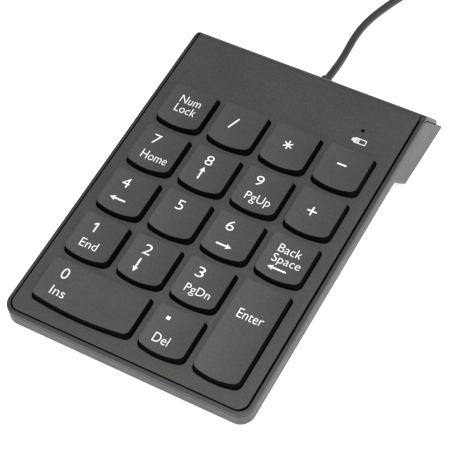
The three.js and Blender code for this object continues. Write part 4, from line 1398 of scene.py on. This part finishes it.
@dataclass
class BottomCase:
    """The lower shell: a shallow tray with the full-width foot bar at its rear."""

    half: float = 43.0
    front: float = -13.85
    corner: float = 4.8
    wall: float = 1.6
    profile: tuple[tuple[float, float], ...] = (
        (-13.85, -1.68), (-13.85, -7.0), (84.5, -7.0), (92.6, -18.1), (121.6, -21.148), (116.2, -13.2),
        (115.74, -13.28), (108.17, -2.47), (106.7, -1.76), (106.7, -1.68),
    )
    hollow: tuple[tuple[float, float], ...] = (
        (-12.25, 1.0), (-12.25, -5.8), (86.1, -5.8), (93.7, -16.9), (119.6, -19.6), (114.2, -13.9),
        (106.9, -3.9), (105.1, -3.3), (105.1, 1.0),
    )
    front_screws: tuple[tuple[float, float], ...] = ((-19, -9.9), (19, -9.9), (-39.3, 38), (39.3, 38))
    rear_screws: tuple[tuple[float, float], ...] = ((-34.5, 101), (34.5, 101))
    ledge: Plan = Plan(42.5, -13.35, 4.3)
    ledge_z: float = -2.9
    hole_radius: float = 2.15

    def is_lower(self, edge: bmesh.types.BMEdge) -> bool:
        """Says whether an edge runs between a side and the underside."""
        downs = sorted(face.normal.z for face in edge.link_faces)
        return len(downs) == 2 and downs[0] < -0.5 and downs[1] > -0.5 and abs(downs[1]) < 0.75

    def shell(self) -> Piece:
        """Makes the shell: outer shape, hollow and the ledge for the rim."""
        case = across("case", self.profile, self.half)
        case.pick(Kind.EDGE, lambda e: all(v.co.y < self.front + 0.01 for v in e.verts)
                  and abs(e.verts[0].co.z - e.verts[1].co.z) > 1)
        case.bevel(self.corner, 14)
        case.pick(Kind.EDGE, self.is_lower).bevel(1.0, 5)
        case.combine(across("hollow", self.hollow, self.half - self.wall))
        case.combine(self.ledge.solid("ledge", 107.2, (self.ledge_z, 2), 12))
        return case

    def exit_hole(self) -> Piece:
        """Makes the level rod that cuts the cable's hole."""
        low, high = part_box("cable_grommet")
        hole = Piece.rod("exit", (0, 0, -6), self.hole_radius, 14, 28)
        place = Matrix.Translation((0, high.y / MM - 4, (low.z + high.z) / 2 / MM))
        level = place @ Matrix.Rotation(-math.pi / 2, 4, "X")
        hole.close().obj.data.transform(PLATE.inverted() @ DESK @ level)
        return hole

    def build(self) -> None:
        """Makes the case with its screw wells and cable hole."""
        case = self.shell()
        pads = [Piece.rod("pad", (*p, -6.4), 2.4, 1.6, 24) for p in self.front_screws]
        posts = [Piece.rod("post", (x, y, -18.2), 3.7, 10.3, 32) for x, y in self.rear_screws]
        case.combine(pads[0].gather([*pads[1:], *posts]), "UNION")
        wells = [Piece.rod("well", (*p, -9), 1.75, 3.2, 28) for p in self.front_screws]
        wells += [Piece.rod("bore", (*p, -8), 0.95, 4, 20) for p in self.front_screws]
        wells += [Piece.rod("well", (*p, -25), 2.4, 16, 32) for p in self.rear_screws]
        wells += [Piece.rod("bore", (*p, -10), 1.2, 3, 20) for p in self.rear_screws]
        case.combine(wells[0].gather(wells[1:]))
        case.soften(0.15, 2, 60)
        case.combine(self.exit_hole())
        case.finish(PLATE, CASE)
        case.hand_over("housing", "case_plastic", "bottom_case")


@dataclass
class Underside:
    """The rubber feet and the case screws."""

    front_feet: tuple[float, float] = (33.0, -3.5)
    rear_feet: tuple[float, float] = (24.0, 107.0)
    pad_half: tuple[float, float] = (7.0, 4.0)
    pad_corner: float = 2.0
    disc_radius: float = 4.0
    rear_top: float = -19.0
    foot_edge: float = 0.35

    @staticmethod
    def is_sole(edge: bmesh.types.BMEdge) -> bool:
        """Says whether an edge runs between a foot's underside and its sides."""
        downs = sorted(face.normal.z for face in edge.link_faces)
        return len(downs) == 2 and downs[0] < -0.9 and abs(downs[1]) < 0.5

    def level(self, foot: Piece) -> Piece:
        """Cuts a foot level with the desk and rounds its lower edge."""
        foot.bisect(DESK_POINT, DESK_NORMAL, clear=True)
        return foot.pick(Kind.EDGE, self.is_sole).bevel(self.foot_edge, 3)

    def feet(self) -> None:
        """Makes the four feet."""
        for side, sign in (("left", -1), ("right", 1)):
            x, y = self.front_feet
            foot = self.level(Piece.rod(f"pad_front_{side}", (sign * x, y, -14), self.disc_radius, 6.9, 48))
            foot.finish(PLATE, RUBBER).hand_over("housing", "foot_rubber", f"foot_front_{side}")
            x, y = self.rear_feet
            half_x, half_y = self.pad_half
            low = (sign * x - half_x, y - half_y, -30)
            foot = Piece.block(f"pad_rear_{side}", low, (sign * x + half_x, y + half_y, self.rear_top))
            foot.pick(Kind.EDGE, runs(2)).bevel(self.pad_corner, 6)
            self.level(foot)
            foot.finish(PLATE, RUBBER).hand_over("housing", "foot_rubber", f"foot_rear_{side}")

    def screw(self, head: float, height: float, shank: float, length: float) -> Piece:
        """Models a screw, head down, with the head's shoulder at the origin.

        Args:
            head: the head's radius.
            height: its height.
            shank: the shank's radius.
            length: the shank's length.

        Returns:
            The screw with a cross recess.
        """
        screw = Piece.rod("screw", (0, 0, -height), head, height, 32)
        screw.pick(Kind.EDGE, lambda e: all(v.co.z < -height + 0.01 for v in e.verts)).bevel(height * 0.35, 4)
        body = Piece.rod("shank", (0, 0, -0.1), shank, length + 0.1, 20)
        body.pick(Kind.EDGE, lambda e: all(v.co.z > length - 0.01 for v in e.verts)).bevel(shank * 0.5, 2)
        screw.combine(body, "UNION")
        arm, slot = head * 0.55, head * 0.14
        cross = Piece.block("slot", (-arm, -slot, -height - 1), (arm, slot, -height * 0.45))
        cross.combine(Piece.block("slot", (-slot, -arm, -height - 1), (slot, arm, -height * 0.45)), "UNION")
        return screw.combine(cross)

    def screws(self) -> None:
        """Copies the two sizes of screw to their wells."""
        case = BottomCase()
        small, large = self.screw(1.6, 0.9, 0.8, 3.4), self.screw(2.2, 1.4, 1.0, 5.6)
        names = [f"{row}_{side}" for row in ("front", "middle", "rear") for side in ("left", "right")]
        for name, (x, y) in zip(names, (*case.front_screws, *case.rear_screws)):
            rear = name.startswith("rear")
            copy = (large if rear else small).copy(f"screw_{name}")
            place = PLATE @ Matrix.Translation((x, y, -9.05 if rear else -5.85))
            copy.finish(place, SCREW_STEEL).hand_over("housing", "screw_steel", f"case_screw_{name}")
        for master in (small, large):
            bpy.data.objects.remove(master.obj)

    def build(self) -> None:
        """Makes the feet and the screws."""
        self.feet()
        self.screws()


# ---------------------------------------------------------------- inner parts


@dataclass
class Inside:
    """The frame's own inner nodes, which keep their shapes and get real finishes."""

    finishes: dict[str, Finish] = field(default_factory=lambda: {
        "key_guide_frame": GUIDE, "tail_clamp": GUIDE, "dome_sheet": SILICONE,
        "membrane_upper_film": FILM, "membrane_spacer": FILM, "membrane_lower_film": FILM,
        "backing_plate": PLATE_STEEL, "controller_board": LAMINATE, "controller_chip": CHIP,
        "indicator_led": LED_BODY, "light_pipe": SMOKED, "stabiliser_bar_0": WIRE_STEEL,
        "stabiliser_bar_enter": WIRE_STEEL, "clamp_screw_left": SCREW_STEEL, "clamp_screw_right": SCREW_STEEL,
        "board_screw_left": SCREW_STEEL, "board_screw_right": SCREW_STEEL,
    })

    def build(self) -> None:
        """Dresses each node."""
        for name, finish in self.finishes.items():
            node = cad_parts[name]
            node.data.materials.clear()
            node.data.materials.append(finish.material())
            log.info("%s dressed with %s", name, finish.name)


def main() -> None:
    """Builds the studio, the cable, the housing and the keys."""
    logging.basicConfig(level=logging.INFO, format="%(name)s: %(message)s")
    studio = Studio()
    studio.set_camera()
    Cable().build()
    for part in (Inside(), BottomCase(), Rim(), FacePanel(), Pictogram(), Underside(), Keyboard()):
        part.build()
        log.info("%s done", type(part).__name__)
    studio.light()
    studio.lay_floor()
    clear_bench()


if __name__ == "__main__":
    main()
